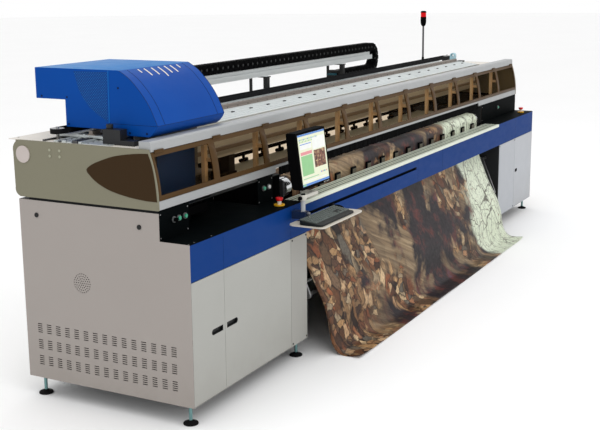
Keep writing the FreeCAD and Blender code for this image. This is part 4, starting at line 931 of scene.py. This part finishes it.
def feet():
    """Levelling feet: a rubber pad, a threaded stud and a lock nut."""
    bm = bmesh.new()
    pad = [(z * MM, radius * MM) for z, radius in PAD_PROFILE]
    turns = [THREAD_FOOT + 1.5 * k for k in range(int((THREAD_TOP - THREAD_FOOT) / 1.5))]
    thread = [(z * MM, (9.0 if z % 3 else 7.7) * MM) for z in turns]
    nut = [(0, 0.0158), (0.0012, 0.017), (0.0128, 0.017), (0.014, 0.0158)]
    for x in FOOT_X:
        for y in FOOT_Y:
            turned(bm, at(x, y, 0), UP, pad, 36, 0)
            turned(bm, at(x, y, 0), UP, thread, 16, 1)
            turned(bm, at(x, y, THREAD_TOP), UP, nut, 6, 1, smooth=False)
    made = piece("levelling_foot_set", bm, "frame", ["rubber", "zinc"])
    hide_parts("levelling_feet")


def fingers():
    """Guide fingers: a black moulded body with an olive face plate."""
    box = Span("guide_fingers")
    count, width = 14, 0.064
    bm = bmesh.new()
    crown = arc((box.y0 + 0.0075, box.z1 - 0.0055), 0.0055, 0, 180, 6)
    body = [(box.y0 + 0.002, box.z0), (box.y0 + 0.010, box.z0), (box.y1, box.z0 + 0.056),
            (box.y1, box.z1 - 0.014), *crown]
    plate = [(box.y0, box.z0 + 0.01), (box.y0 + 0.0018, box.z0 + 0.01), (box.y0 + 0.0018, box.z1 - 0.012),
             (box.y0, box.z1 - 0.014)]
    for left in shared(box.x0, box.x1 - width, count):
        extruded(bm, body, left, left + width, 0)
        extruded(bm, plate, left + 0.008, left + width - 0.003, 1)
        screw(bm, (left + 0.034, box.y0 - 0.0001, box.z0 + 0.03), FORWARD, 3.5, 1.8, 2)
    made = piece("guide_finger_set", bm, "frame", ["gloss_black", "finger_face", "steel"],
                 0.8 * MM)
    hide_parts("guide_fingers")


def brush():
    """A strip brush: two rows of bristle tufts of uneven length in a holder."""
    box = Span("brush_curtain")
    chance = random.Random(4)
    bm = bmesh.new()
    block(bm, (box.x0, box.y0, box.z1 - 0.011), box.high, 0)
    x = box.x0
    while x < box.x1 - 0.008:
        width = chance.uniform(0.003, 0.0075)
        for depth in (0.0, 0.003):
            tip = box.z0 + chance.uniform(0, 0.007) + (0.008 if chance.random() < 0.07 else 0.0)
            shift = chance.uniform(-0.0012, 0.0012)
            low = (x + shift, box.y0 + depth + 0.0002, tip)
            high = (x + shift + width * 0.92, box.y0 + depth + 0.0028, box.z1 - 0.011)
            block(bm, low, high, chance.choice((1, 1, 1, 2)))
        x += width
    made = piece("brush_strip", bm, "frame", ["black", "bristles", "grey_bristles"])
    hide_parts("brush_curtain")


# ---- cable chain ---------------------------------------------------------------------------------------
def chain_sizes():
    """The chain's bend and the inner and outer radius of its links."""
    bend = Span("chain_bend")
    inner = Span("chain_upper_run").z0 - bend.middle.z
    outer = bend.size.z / 2
    return bend, inner, outer


LINKS_IN_BEND = 9


def chain_link(bm, matrix, width, height, pitch, odd):
    """One link in its own frame: X along the chain, Y across it and Z to the outside of its bend."""
    half, side, top = pitch / 2, width / 2, height / 2
    inset = 0.0016 if odd else 0.0
    parts = [
        ((-half * 1.1, -side + inset, -top + 0.004), (half * 1.1, -side + inset + 0.007, top - 0.005)),
        ((-half * 1.1, side - inset - 0.007, -top + 0.004), (half * 1.1, side - inset, top - 0.005)),
        ((-half * 0.62, -side + 0.003, top - 0.012), (half * 0.62, side - 0.003, top)),
        ((-half * 0.5, -side + 0.004, -top), (half * 0.5, side - 0.004, -top + 0.008)),
    ]
    for low, high in parts:
        bmesh.ops.transform(bm, matrix=matrix, verts=block(bm, low, high, 0))
    for face in (-1, 1):
        pin = turned(bm, (0, face * (side - 0.001), 0), (0, face, 0),
                     [(0, 0.009), (0.0008, 0.009), (0.001, 0.0075)], 12, 1)
        bmesh.ops.transform(bm, matrix=matrix, verts=pin)


# offset across the chain, offset outwards and radius in mm, and look
CABLES = ((-27, 2, 6.5, 1), (-12, -4, 8, 1), (4, 3, 6, 2), (16, -5, 6, 1), (27, 3, 5.5, 2))


def cables(bm, path):
    """Hoses and cables that lie side by side in the chain; path turns an offset into points."""
    for side, rise, radius, look in CABLES:
        tube(bm, path(side * MM, rise * MM), radius * MM, 10, look, (0, 1, 0))


def chain():
    """The cable chain: an upper run that gathers, a bend that travels and a lower run that pays out."""
    bend, inner, outer = chain_sizes()
    upper, lower = Span("chain_upper_run"), Span("chain_lower_run")
    height, mean = outer - inner, (outer + inner) / 2
    pitch = pi * mean / LINKS_IN_BEND
    centre = Vector((bend.x0, bend.middle.y, bend.middle.z))
    looks = ["black", "charcoal", "cable_green"]

    def straight(run, direction):
        count = round(run.size.x / pitch)
        step = run.size.x / count
        for k in range(count):
            spot = Vector((run.x0 + step * (k + 0.5), run.middle.y, run.middle.z))
            turn = Matrix.Rotation(0 if direction > 0 else pi, 4, "Y")
            yield Matrix.Translation(spot) @ turn, k % 2

    for name, run, direction in (("chain_upper_links", upper, 1), ("chain_lower_links", lower, -1)):
        bm = bmesh.new()
        for matrix, odd in straight(run, direction):
            chain_link(bm, matrix, run.size.y, height, pitch, odd)
        stops = shared(run.x0, run.x1, 9)
        cables(bm, lambda side, rise: [(x, run.middle.y + side, run.middle.z + rise * direction)
                                       for x in stops])
        made = piece(name, bm, "frame", looks, ride=False)
        if direction > 0:
            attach(made, "carriage")
            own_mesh(made)
        else:
            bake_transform(made)
        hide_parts("chain_upper_run" if direction > 0 else "chain_lower_run")

    bm = bmesh.new()
    for k in range(LINKS_IN_BEND):
        angle = pi / 2 - pi * (k + 0.5) / LINKS_IN_BEND
        out = Vector((cos(angle), 0, sin(angle)))
        ahead = Vector((sin(angle), 0, -cos(angle)))
        turn = Matrix((ahead, Vector((0, 1, 0)), out)).transposed().to_4x4()
        chain_link(bm, Matrix.Translation(centre + out * mean) @ turn, bend.size.y, height, pitch, k % 2)
    angles = shared(pi / 2, -pi / 2, 25)
    cables(bm, lambda side, rise: [centre + Vector((cos(a) * (mean + rise), side, sin(a) * (mean + rise)))
                                   for a in angles])
    made = piece("chain_bend_links", bm, "chain_loop", looks)
    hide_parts("chain_bend")


def chain_connectors():
    """Plugs and a clamp bar where the cables leave the fixed end of the chain."""
    run = Span("chain_lower_run")
    bm = bmesh.new()
    low = (run.x0 - 0.034, run.y0 + 0.004, run.z0 + 0.016)
    block(bm, low, (run.x0 - 0.002, run.y1 - 0.004, run.z0 + 0.03), 0)
    plug = [(0, 0.006), (0.004, 0.0085), (0.02, 0.0085), (0.022, 0.007), (0.034, 0.007), (0.036, 0.005)]
    for k, y in enumerate(shared(run.y0 + 0.013, run.y1 - 0.013, 5)):
        rod(bm, (run.x0 - 0.05, y, run.z0 + 0.038), (run.x0 + 0.01, y, run.z0 + 0.034), 0.006, 12, 1)
        turned(bm, (run.x0 - 0.05, y, run.z0 + 0.038), (-1, 0, 0.05 * (k % 2)), plug, 14, 2)
    piece("chain_connector_set", bm, "frame", ["charcoal", "black", "teal"], 0.5 * MM)


# ---- beam and deck details -----------------------------------------------------------------------------
def beam_details():
    """Ribs and clips along the beam's shoulder, and the bolts of the upper rail."""
    beam, rails = Span("print_beam"), Span("linear_rails")
    shoulder = (at(0, 443, 1352), at(0, 615, 1372))
    slope = (shoulder[1] - shoulder[0]).normalized()
    up = Vector((0, -slope.z, slope.y))
    bm = bmesh.new()
    for share in (0.16, 0.34, 0.52, 0.7, 0.88):
        foot = shoulder[0].lerp(shoulder[1], share)
        outline = [foot - slope * 0.005, foot + slope * 0.005, foot + slope * 0.0035 + up * 0.0035,
                   foot - slope * 0.0035 + up * 0.0035]
        extruded(bm, [(point.y, point.z) for point in outline], beam.x0 + 0.004, beam.x1 - 0.004, 0)
    for y in (deep(702), deep(742), deep(842)):
        block(bm, (beam.x0 + 0.004, y - 0.006, beam.z1), (beam.x1 - 0.004, y + 0.006, beam.z1 + 0.004), 0)
    clip = shoulder[0].lerp(shoulder[1], 0.61)
    for x in shared(beam.x0 + 0.12, beam.x1 - 0.12, 25):
        low = (x - 0.012, clip.y - 0.006, clip.z - 0.002)
        block(bm, low, (x + 0.012, clip.y + 0.006, clip.z + 0.005), 1)
        screw(bm, (x, clip.y, clip.z + 0.005), UP, 4, 2.5, 2)
    rail_y = deep(656)
    for x in shared(beam.x0 + 0.03, beam.x1 - 0.03, 88):
        screw(bm, (x, rail_y, rails.z1 - 0.0002), UP, 5, 0.8, 1)
    for x in shared(beam.x0 + 0.06, beam.x1 - 0.06, 44):
        for y in (rail_y - 0.0165, rail_y + 0.0165):
            screw(bm, (x, y, beam.z1 + 0.006), UP, 3.4, 2.4, 1)
    piece("beam_ribs_and_bolts", bm, "frame", ["aluminium", "black", "steel"])


# x positions, depth and heights in mm, radius and height of the head in mm, and look
FRONT_SCREWS = (
    ((-1846, -1684, 1886, 2307), 0, (120, 715), 5.5, 2.2, 0),
    ((-2836, -2607, -1908, -1768, 1895, 2836), 169, (926, 1040), 4, 1.8, 1),
    ((-2583, -2258, -1932), 450, (930, 1030), 4, 1.8, 1),
)


def panel_screws():
    """Screws at the corners of the fixed panels, the control panels and the covers."""
    bm = bmesh.new()
    for columns, y, rows, radius, height, look in FRONT_SCREWS:
        for x in columns:
            for z in rows:
                screw(bm, at(x, y, z), FORWARD, radius, height, look)
    for x in (-2836, -2790, -2640):
        screw(bm, at(x, 14, 914), UP, 3.5, 1.2, 1)
    cover = Span("rear_cover")
    for x in shared(cover.x0 + 0.05, cover.x1 - 0.05, 14):
        screw(bm, (x, cover.y1 - 0.02, cover.z1), UP, 5, 2, 1)
        screw(bm, (x, deep(1031), cover.z0 + 0.03), (0, 1, 0), 5, 2, 1)
        screw(bm, (x, deep(1031), cover.z1 - 0.03), (0, 1, 0), 5, 2, 1)
    back = deep(1024)
    for left, right in ((-2835, -1685), (1885, 2835)):
        for x in shared(left, right, 4):
            for z in (125, 580, 1030):
                screw(bm, (x * MM, back, z * MM), (0, 1, 0), 5, 2, 0)
    piece("panel_screw_set", bm, "frame", ["black", "steel"])


def seams():
    """Joint lines of the front beam's face and the shut lines of the cabinets' back panels."""
    bm = bmesh.new()
    face = Span("front_fascia")
    for x in (-2555, -1862, 9, 494, 2323):
        low = (x * MM - 0.0006, face.y0 - 0.0002, face.z0 + 0.001)
        block(bm, low, (x * MM + 0.0006, face.y0 + 0.001, face.z1 - 0.02), 0)
    block(bm, at(-1668, 14, 812), at(-10, 16, 848), 0)
    back = deep(1024)
    for x in (-2260, 2360):
        block(bm, (x * MM - 0.001, back - 0.001, 0.112), (x * MM + 0.001, back + 0.0003, 1.042), 0)
    piece("panel_seams", bm, "frame", "seam")


# ---- signal tower and media roll -----------------------------------------------------------------------
def signal_tower():
    """A pole on a flared boot, a bullet-shaped housing with a ribbed lens and a domed cap."""
    box, lens = Span("signal_tower"), Span("signal_lens")
    spot = Vector((lens.middle.x, lens.middle.y, box.z0))
    case = lens.z0 - box.z0
    full = lens.size.x / 2 + 0.001
    bm = bmesh.new()
    low = (spot.x - 0.045, spot.y - 0.018, box.z0)
    block(bm, low, (spot.x + 0.045, spot.y + 0.018, box.z0 + 0.006), 0)
    bmesh.ops.bevel(bm, geom=list(bm.edges), offset=0.002, affect="EDGES")
    settle(bm)
    for x in (-0.034, 0.034):
        screw(bm, (spot.x + x, spot.y, box.z0 + 0.006), UP, 5, 3, 1)
    boot = [(0.006, 0.02), (0.012, 0.019), (0.03, 0.013), (0.07, 0.0105), (0.075, 0.0085)]
    turned(bm, spot, UP, boot, 28, 0)
    rod(bm, spot + Vector((0, 0, 0.05)), spot + Vector((0, 0, case - 0.07)), 0.0085, 24, 2)
    housing = [(-0.083, 0.0085), (-0.08, 0.014), (-0.07, 0.02), (-0.055, 0.0245), (-0.035, full),
               (-0.012, full), (-0.011, full - 0.0012), (-0.009, full - 0.0012), (-0.008, full), (0, full)]
    turned(bm, spot, UP, [(case + rise, radius) for rise, radius in housing], 40, 0)
    top = lens.z1 - box.z0
    cap = [(0, full), (0.007, full), (0.012, full - 0.004), (0.015, full - 0.012), (0.016, 0.002)]
    turned(bm, spot, UP, [(top + rise, radius) for rise, radius in cap], 40, 0)
    made = piece("signal_tower_body", bm, "frame", ["black", "steel", "dark_steel"])
    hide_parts("signal_tower")
    bm = bmesh.new()
    ribs = 12
    rings = [(lens.size.z * k / ribs / 2, full - (0.001 if k % 2 else 0.0024)) for k in range(ribs * 2 + 1)]
    turned(bm, (spot.x, spot.y, lens.z0), UP, rings, 40, 0)
    made = piece("signal_lens_ribbed", bm, "frame", "lens")
    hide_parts("signal_lens")


def media_roll():
    """Wound film on a card core and a steel shaft, with the layers showing at both ends."""
    box = Span("media_roll")
    centre = Vector((box.x0, box.middle.y, box.middle.z))
    banner_box = Span("printed_banner")
    start, length, radius = banner_box.x0 - box.x0, banner_box.size.x, box.size.z / 2
    layers = 22
    core = 0.044
    face = [(0.0012 * (k % 2) + 0.0006 * sin(k), core + (radius - 0.002 - core) * k / layers)
            for k in range(layers + 1)]
    profile = [(start + 0.0005 + depth, size) for depth, size in face]
    profile += [(start + 0.003, radius), (start + length - 0.003, radius)]
    profile += [(start + length - 0.0005 - depth, size) for depth, size in reversed(face)]
    bm = bmesh.new()
    turned(bm, centre, RIGHT, profile, 72, 0)
    left, right = start - 0.012, start + length + 0.012
    turned(bm, centre, RIGHT, [(left, 0.0385), (left, 0.0435), (right, 0.0435), (right, 0.0385)], 48, 1)
    rod(bm, centre, (box.x1, centre.y, centre.z), 0.02, 32, 2)
    collar = [(0, 0.03), (0.002, 0.033), (0.028, 0.033), (0.03, 0.03)]
    for x in (box.x0 + start - 0.05, box.x0 + start + length + 0.02):
        turned(bm, (x, centre.y, centre.z), RIGHT, collar, 32, 3)
    made = piece("media_roll_wound", bm, "media_roll",
                 ["film", "card", "steel", "dark_steel"])
    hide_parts("media_roll")


# ---- operator station ----------------------------------------------------------------------------------
def screen():
    """The lit screen and the panes of a generic layout program, with no lettering."""
    box = Span("monitor_screen")
    width = box.size.x
    foot, head = Vector((box.x0, box.y0 + 0.0003, box.z0)), Vector((box.x0, box.y1 - 0.0027, box.z1))
    rise = head - foot
    tall = rise.length
    up = rise.normalized()
    out = Vector(RIGHT).cross(up)
    turn = Matrix((Vector(RIGHT), out * -1, up)).transposed().to_4x4()
    plane = Matrix.Translation(foot) @ turn
    bm = bmesh.new()

    def pane(left, right, low, high, look, layer=1):
        depth = 0.00022 * layer
        corners = block(bm, (width * left, -depth, tall * low), (width * right, 0.002, tall * high), look)
        bmesh.ops.transform(bm, matrix=plane, verts=corners)

    looks = ["screen_cream", "screen_blue", "screen_white", "screen_pink", "screen_green", "screen_picture",
             "screen_mint", "charcoal"]
    pane(0, 1, 0, 1, 0, 0.5)
    pane(0, 1, 0.965, 1, 1)
    pane(0, 1, 0.93, 0.965, 0)
    for k in range(14):
        pane(0.03 + 0.05 * k, 0.06 + 0.05 * k, 0.885, 0.915, 6 if k % 3 else 1)
    for k in range(9):
        pane(0.04 + 0.055 * k, 0.07 + 0.055 * k, 0.845, 0.872, 6 if k % 2 else 4)
    pane(0.04, 0.46, 0.71, 0.83, 2)
    pane(0.04, 0.46, 0.80, 0.815, 1, 2)
    pane(0.50, 0.98, 0.66, 0.9, 2)
    pane(0.04, 0.46, 0.60, 0.66, 3)
    pane(0.04, 0.46, 0.20, 0.585, 4)
    pane(0.52, 0.95, 0.30, 0.64, 5, 2)
    for k in range(6):
        pane(0.72 + 0.04 * k, 0.75 + 0.04 * k, 0.17, 0.2, (1, 3, 4, 1, 6, 3)[k])
    pane(0.04, 0.62, 0.13, 0.15, 6)
    pane(0.04, 0.9, 0.08, 0.1, 2)
    pane(0, 1, 0, 0.045, 1)
    pane(0.01, 0.12, 0.008, 0.037, 4, 2)
    made = piece("screen_display", bm, "monitor", looks)
    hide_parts("monitor_screen")


def rounded_plan(left, right, front, rear, corner):
    """Plan points of a rectangle with round corners."""
    points = []
    for x, y, turn in ((right - corner, rear - corner, 0), (left + corner, rear - corner, 90),
                       (left + corner, front + corner, 180), (right - corner, front + corner, 270)):
        points += arc((x, y), corner, turn, turn + 90, 5)
    return points


def keyboard():
    """A wedge-shaped keyboard with six rows of tapered keys and a palm rest, and a wheel mouse."""
    box = Span("keyboard_and_mouse")
    x0, x1 = box.x0, box.x1 - 0.072
    base, depth = box.z0, deep(-85) - box.y0
    bm = bmesh.new()

    def surface(share):
        """Height of the keyboard's top along its depth, with a hollow palm rest."""
        return base + 0.010 + 0.014 * share + 0.002 * cos(pi * share) ** 2

    # the second ring lies 4 mm up, and the others at shares of the wedge's own height
    rings = []
    for rise, inset in ((0.0, 0.003), (0.004, 0.0), (0.6, 0.0), (0.92, 0.0015), (1.0, 0.005)):
        plan = rounded_plan(x0 + inset, x1 - inset, box.y0 + inset, box.y0 + depth - inset, 0.022)
        ring = []
        for x, y in plan:
            top = surface((y - box.y0) / depth)
            ring.append((x, y, base + rise if rise == 0.004 else base + (top - base) * rise))
        rings.append(ring)
    skin(bm, rings, 0)

    def key(x, share, wide, look):
        y = box.y0 + depth * share
        low, high = surface(share) - 0.002, surface(share) + 0.0055
        half, long = wide / 2, depth * 0.052
        corners = ((-1, -1), (1, -1), (1, 1), (-1, 1))
        rings = [[(x + side * half * f, y + end * long * f, z) for side, end in corners]
                 for z, f in ((low, 1.0), (low + 0.004, 0.97), (high, 0.76))]
        skin(bm, rings, look, smooth=False)

    main, gap = x0 + 0.022, 0.0188
    for row, share in enumerate((0.93, 0.80, 0.68, 0.56, 0.44, 0.32)):
        for column in range(15):
            if row == 5 and 4 <= column <= 8:
                continue
            key(main + gap * column, share, 0.0172, 1)
        for column in range(3):
            if row not in (3, 4) or (row == 4 and column == 1):
                key(main + gap * (15.4 + column), share, 0.0172, 1)
        for column in range(3):
            key(main + gap * (18.9 + column) - 0.004, share, 0.0168, 1)
    key(main + gap * 6, 0.32, gap * 4.9, 1)

    wide, front, rear = 0.06, deep(-135), deep(-40)
    middle = box.x1 - wide / 2
    rings = []
    for k in range(11):
        share = k / 10
        y = front + (rear - front) * share
        half = wide / 2 * (1 - abs(2 * share - 1) ** 3.2) ** 0.5 + 0.002
        tall = 0.009 + 0.017 * sin(pi * min(1.0, share * 0.86 + 0.07)) ** 0.8
        rings.append([(middle + half * cos(a), y, base + (tall * sin(a) if sin(a) > 0 else 0.0008 * sin(a)))
                      for a in (tau * n / 24 for n in range(24))])
    skin(bm, rings, 2)
    wheel_y, wheel_z = front + 0.068, base + 0.021
    rod(bm, (middle - 0.0035, wheel_y, wheel_z), (middle + 0.0035, wheel_y, wheel_z), 0.0075, 20, 3)
    for vertex in bm.verts:
        vertex.co.z = max(vertex.co.z, base)
    made = piece("keyboard_with_keys", bm, "frame",
                 ["key_black", "key_cap", "gloss_black", "charcoal"], 0.5 * MM)
    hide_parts("keyboard_and_mouse")


def stand_details():
    """Clamp knobs, pole cap, screws in the keyboard tray, a knob on the arm's clamp, and the monitor's vents and
    buttons.
    """
    stand, arm, case = Span("monitor_stand"), Span("monitor_arm"), Span("monitor_case")
    pole = at(-1827, -60, 0)
    bm = bmesh.new()
    for z in (0.853, 0.873):
        turned(bm, (pole.x, stand.y0 + 0.156 - 0.0005, z), FORWARD,
               [(0, 0.006), (0.004, 0.006), (0.005, 0.009), (0.016, 0.009), (0.018, 0.007)], 12, 0)
    for x in (-0.021, 0.021):
        turned(bm, (pole.x + x, pole.y, 0.8835), UP, [(0, 0.0045), (0.002, 0.005), (0.004, 0.0035)], 12, 0)
    turned(bm, (pole.x, pole.y, stand.z1 - 0.001), UP,
           [(0, 0.0135), (0.004, 0.0135), (0.007, 0.011), (0.008, 0.006)], 24, 1)
    for x in (stand.x0 + 0.1, stand.x0 + 0.3, stand.x1 - 0.08):
        for y in (stand.y0 + 0.03, deep(-52)):
            screw(bm, (x, y, 0.83), UP, 3, 1, 2)
    piece("stand_fittings", bm, "frame", ["steel", "black", "steel"])
    bm = bmesh.new()
    turned(bm, (pole.x - 0.0195, pole.y, arm.z0 + 0.015), (-1, 0, 0),
           [(0, 0.005), (0.008, 0.005), (0.009, 0.011), (0.022, 0.011), (0.024, 0.009)], 10, 0)
    piece("arm_clamp_knob", bm, "monitor_arm", "black")
    bm = bmesh.new()
    for k in range(9):
        z = case.z1 - 0.06 - 0.009 * k
        rear = deep(34) - 0.0012
        low = (case.x0 + 0.09, rear - 0.0035, z)
        block(bm, low, (case.x1 - 0.09, rear + 0.001 - 0.0014 * k, z + 0.004), 0)
    for k in range(4):
        spot = (case.x1 - 0.03 - 0.018 * k, deep(-67), case.z0 + 0.007)
        rod(bm, spot, (spot[0], spot[1] - 0.0015, spot[2]), 0.0035, 14, 1)
    piece("monitor_vents_and_keys", bm, "monitor", ["charcoal", "grey_plastic"], 0.3 * MM)


# ---- inside the cabinets -------------------------------------------------------------------------------
# height above the shelf and inset of the tanks' side, in metres
TANK_SIDE = ((0.0005, 0.006), (0.006, 0.0), (0.07, 0.0), (0.075, 0.002), (0.08, 0.002), (0.085, 0.0),
             (0.185, 0.0), (0.196, 0.006), (0.2, 0.016))
TANK_CAP = [(0, 0.019), (0.004, 0.019), (0.0045, 0.024), (0.02, 0.024), (0.023, 0.021)]
INKS = ("ink_cyan", "ink_magenta", "ink_yellow", "ink_black", "ink_pale_cyan", "ink_pale_magenta")


def ink_tanks():
    """Six blow-moulded tanks of ink with screw caps and outlet hoses' elbows, on a folded shelf."""
    box = Span("ink_tanks")
    shelf = at(0, 0, 400).z
    bm = bmesh.new()
    block(bm, (box.x0, box.y0, shelf - 0.005), (box.x1, box.y1, shelf), 0)
    block(bm, (box.x0, box.y0, shelf - 0.03), (box.x1, box.y0 + 0.002, shelf), 0)
    for x in (box.x0, box.x1 - 0.005):
        block(bm, (x, box.y0, box.z0), (x + 0.005, box.y1, shelf - 0.005), 0)
    for k in range(6):
        left = box.x0 + 0.015 + 0.098 * k
        front, rear = box.y0 + 0.02, box.y1 - 0.02
        rings = []
        for rise, inset in TANK_SIDE:
            plan = rounded_plan(left + inset, left + 0.08 - inset, front + inset, rear - inset, 0.018)
            rings.append([(x, y, shelf + rise) for x, y in plan])
        skin(bm, rings, 1)
        plan = rounded_plan(left + 0.003, left + 0.077, front + 0.003, rear - 0.003, 0.015)
        level = 0.06 + 0.02 * ((k * 3) % 5)
        skin(bm, [[(x, y, shelf + z) for x, y in plan] for z in (0.004, level)], 2 + k)
        spot = (left + 0.04, front + 0.04, shelf + 0.199)
        turned(bm, spot, UP, TANK_CAP, 20, 8, smooth=False)
        spot = (left + 0.04, rear - 0.05, shelf + 0.199)
        turned(bm, spot, UP, [(0, 0.007), (0.012, 0.007), (0.014, 0.005)], 12, 8)
    made = piece("ink_tank_set", bm, "frame",
                 ["steel", "tank", *INKS, "black"])
    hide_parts("ink_tanks")


def electronics():
    """Power supplies and driver boards on their mounting plate, with fins, terminals and chips."""
    box = Span("electronics_rack")
    plate = deep(700)
    bm = bmesh.new()
    block(bm, (box.x0 + 0.01, plate, box.z0), (box.x1 - 0.01, plate + 0.004, box.z1), 0)
    for x in (box.x0, box.x1 - 0.01):
        block(bm, (x, plate - 0.06, box.z0), (x + 0.01, box.y1, box.z1), 0)
    chance = random.Random(11)
    for row in range(3):
        for column in range(3):
            left, low = 2.04 + 0.245 * column, 0.18 + 0.25 * row
            if row == 0:
                block(bm, (left, plate - 0.055, low), (left + 0.2, plate, low + 0.17), 1)
                for k in range(14):
                    x = left + 0.02 + 0.0118 * k
                    block(bm, (x, plate - 0.0575, low + 0.04), (x + 0.005, plate - 0.055, low + 0.15), 2)
                for k in range(9):
                    block(bm, (left + 0.012 + 0.02 * k, plate - 0.058, low + 0.008),
                          (left + 0.028 + 0.02 * k, plate - 0.05, low + 0.026), 3)
                continue
            block(bm, (left, plate - 0.014, low), (left + 0.2, plate - 0.012, low + 0.17), 4)
            for x in (left + 0.008, left + 0.192):
                for z in (low + 0.008, low + 0.162):
                    rod(bm, (x, plate - 0.016, z), (x, plate, z), 0.003, 10, 0)
            for k in range(16):
                x = left + chance.uniform(0.015, 0.165)
                z = low + chance.uniform(0.015, 0.14)
                size = chance.choice((0.008, 0.012, 0.02))
                face = plate - 0.014 - size * chance.uniform(0.3, 0.9)
                block(bm, (x, face, z), (x + size, plate - 0.013, z + size), chance.choice((2, 3, 0)))
            for k in range(10):
                block(bm, (left + 0.012 + 0.018 * k, plate - 0.028, low + 0.155),
                      (left + 0.026 + 0.018 * k, plate - 0.014, low + 0.168), 5)
    made = piece("electronics_boards", bm, "frame",
                 ["steel", "aluminium", "black", "charcoal", "board_green", "grey_plastic"], 0.4 * MM)
    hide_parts("electronics_rack")


# ---- camera, light and floor ---------------------------------------------------------------------------
def camera():
    """The camera looks along the machine from its left end."""
    turn, lift, roll = radians(-62.32), radians(11.87), radians(-0.43)
    back = Vector((sin(turn) * cos(lift), -cos(turn) * cos(lift), sin(lift)))
    level = Vector((cos(turn), sin(turn), 0))
    up = back.cross(level)
    right = level * cos(roll) + up * sin(roll)
    top = up * cos(roll) - level * sin(roll)
    eye = bpy.data.objects.new("camera", bpy.data.cameras.new("camera"))
    bpy.context.scene.collection.objects.link(eye)
    aim = Matrix((right, top, back)).transposed().to_4x4()
    eye.matrix_world = Matrix.Translation(at(-6890, -2731, 2123)) @ aim
    eye.data.sensor_width = 36.0
    eye.data.lens = 64.42
    eye.data.shift_x = -0.0093
    eye.data.shift_y = -0.0172
    eye.data.clip_end = 200.0
    bpy.context.scene.camera = eye


def area_light(name, spot, target, size, power):
    """A soft rectangular light that faces a target."""
    lamp = bpy.data.lights.new(name, "AREA")
    lamp.shape = "RECTANGLE"
    lamp.size, lamp.size_y = size
    lamp.energy = power
    holder = bpy.data.objects.new(name, lamp)
    bpy.context.scene.collection.objects.link(holder)
    holder.location = spot
    holder.rotation_euler = (Vector(target) - Vector(spot)).to_track_quat("-Z", "Y").to_euler()


def studio():
    """A white floor, white air and three soft lights."""
    bm = bmesh.new()
    bmesh.ops.create_circle(bm, cap_ends=True, segments=96, radius=60)
    mesh = bpy.data.meshes.new("floor")
    bm.to_mesh(mesh)
    bm.free()
    floor = bpy.data.objects.new("floor", mesh)
    bpy.context.scene.collection.objects.link(floor)
    g = Graph("floor_paper", Roughness=0.9)
    g.set("Base Color", g.mix(g.noise(0.6), linear(248, 248, 248), linear(252, 252, 252)))
    mesh.materials.append(g.material)
    world = bpy.data.worlds.new("studio_air")
    world.use_nodes = True
    world.node_tree.nodes["Background"].inputs[0].default_value = (1.0, 1.0, 1.0, 1.0)
    world.node_tree.nodes["Background"].inputs[1].default_value = 1.0
    bpy.context.scene.world = world
    area_light("key", (-5.0, -5.0, 6.5), (0, 0, 0.9), (5.0, 3.0), 110)
    area_light("top", (0.0, 0.5, 6.0), (0, 0, 1.0), (8.0, 3.0), 60)
    area_light("front", (2.5, -7.0, 3.0), (1.0, 0, 0.8), (5.0, 3.0), 30)
    bpy.context.scene.view_settings.view_transform = "Standard"


camera()
studio()
finish_cad_parts()
banner()
cover()
left_deck()
end_accents()
for make in (feet, fingers, brush, chain, chain_connectors, beam_details, panel_screws, seams, signal_tower,
             media_roll, screen, keyboard, stand_details, ink_tanks, electronics):
    make()
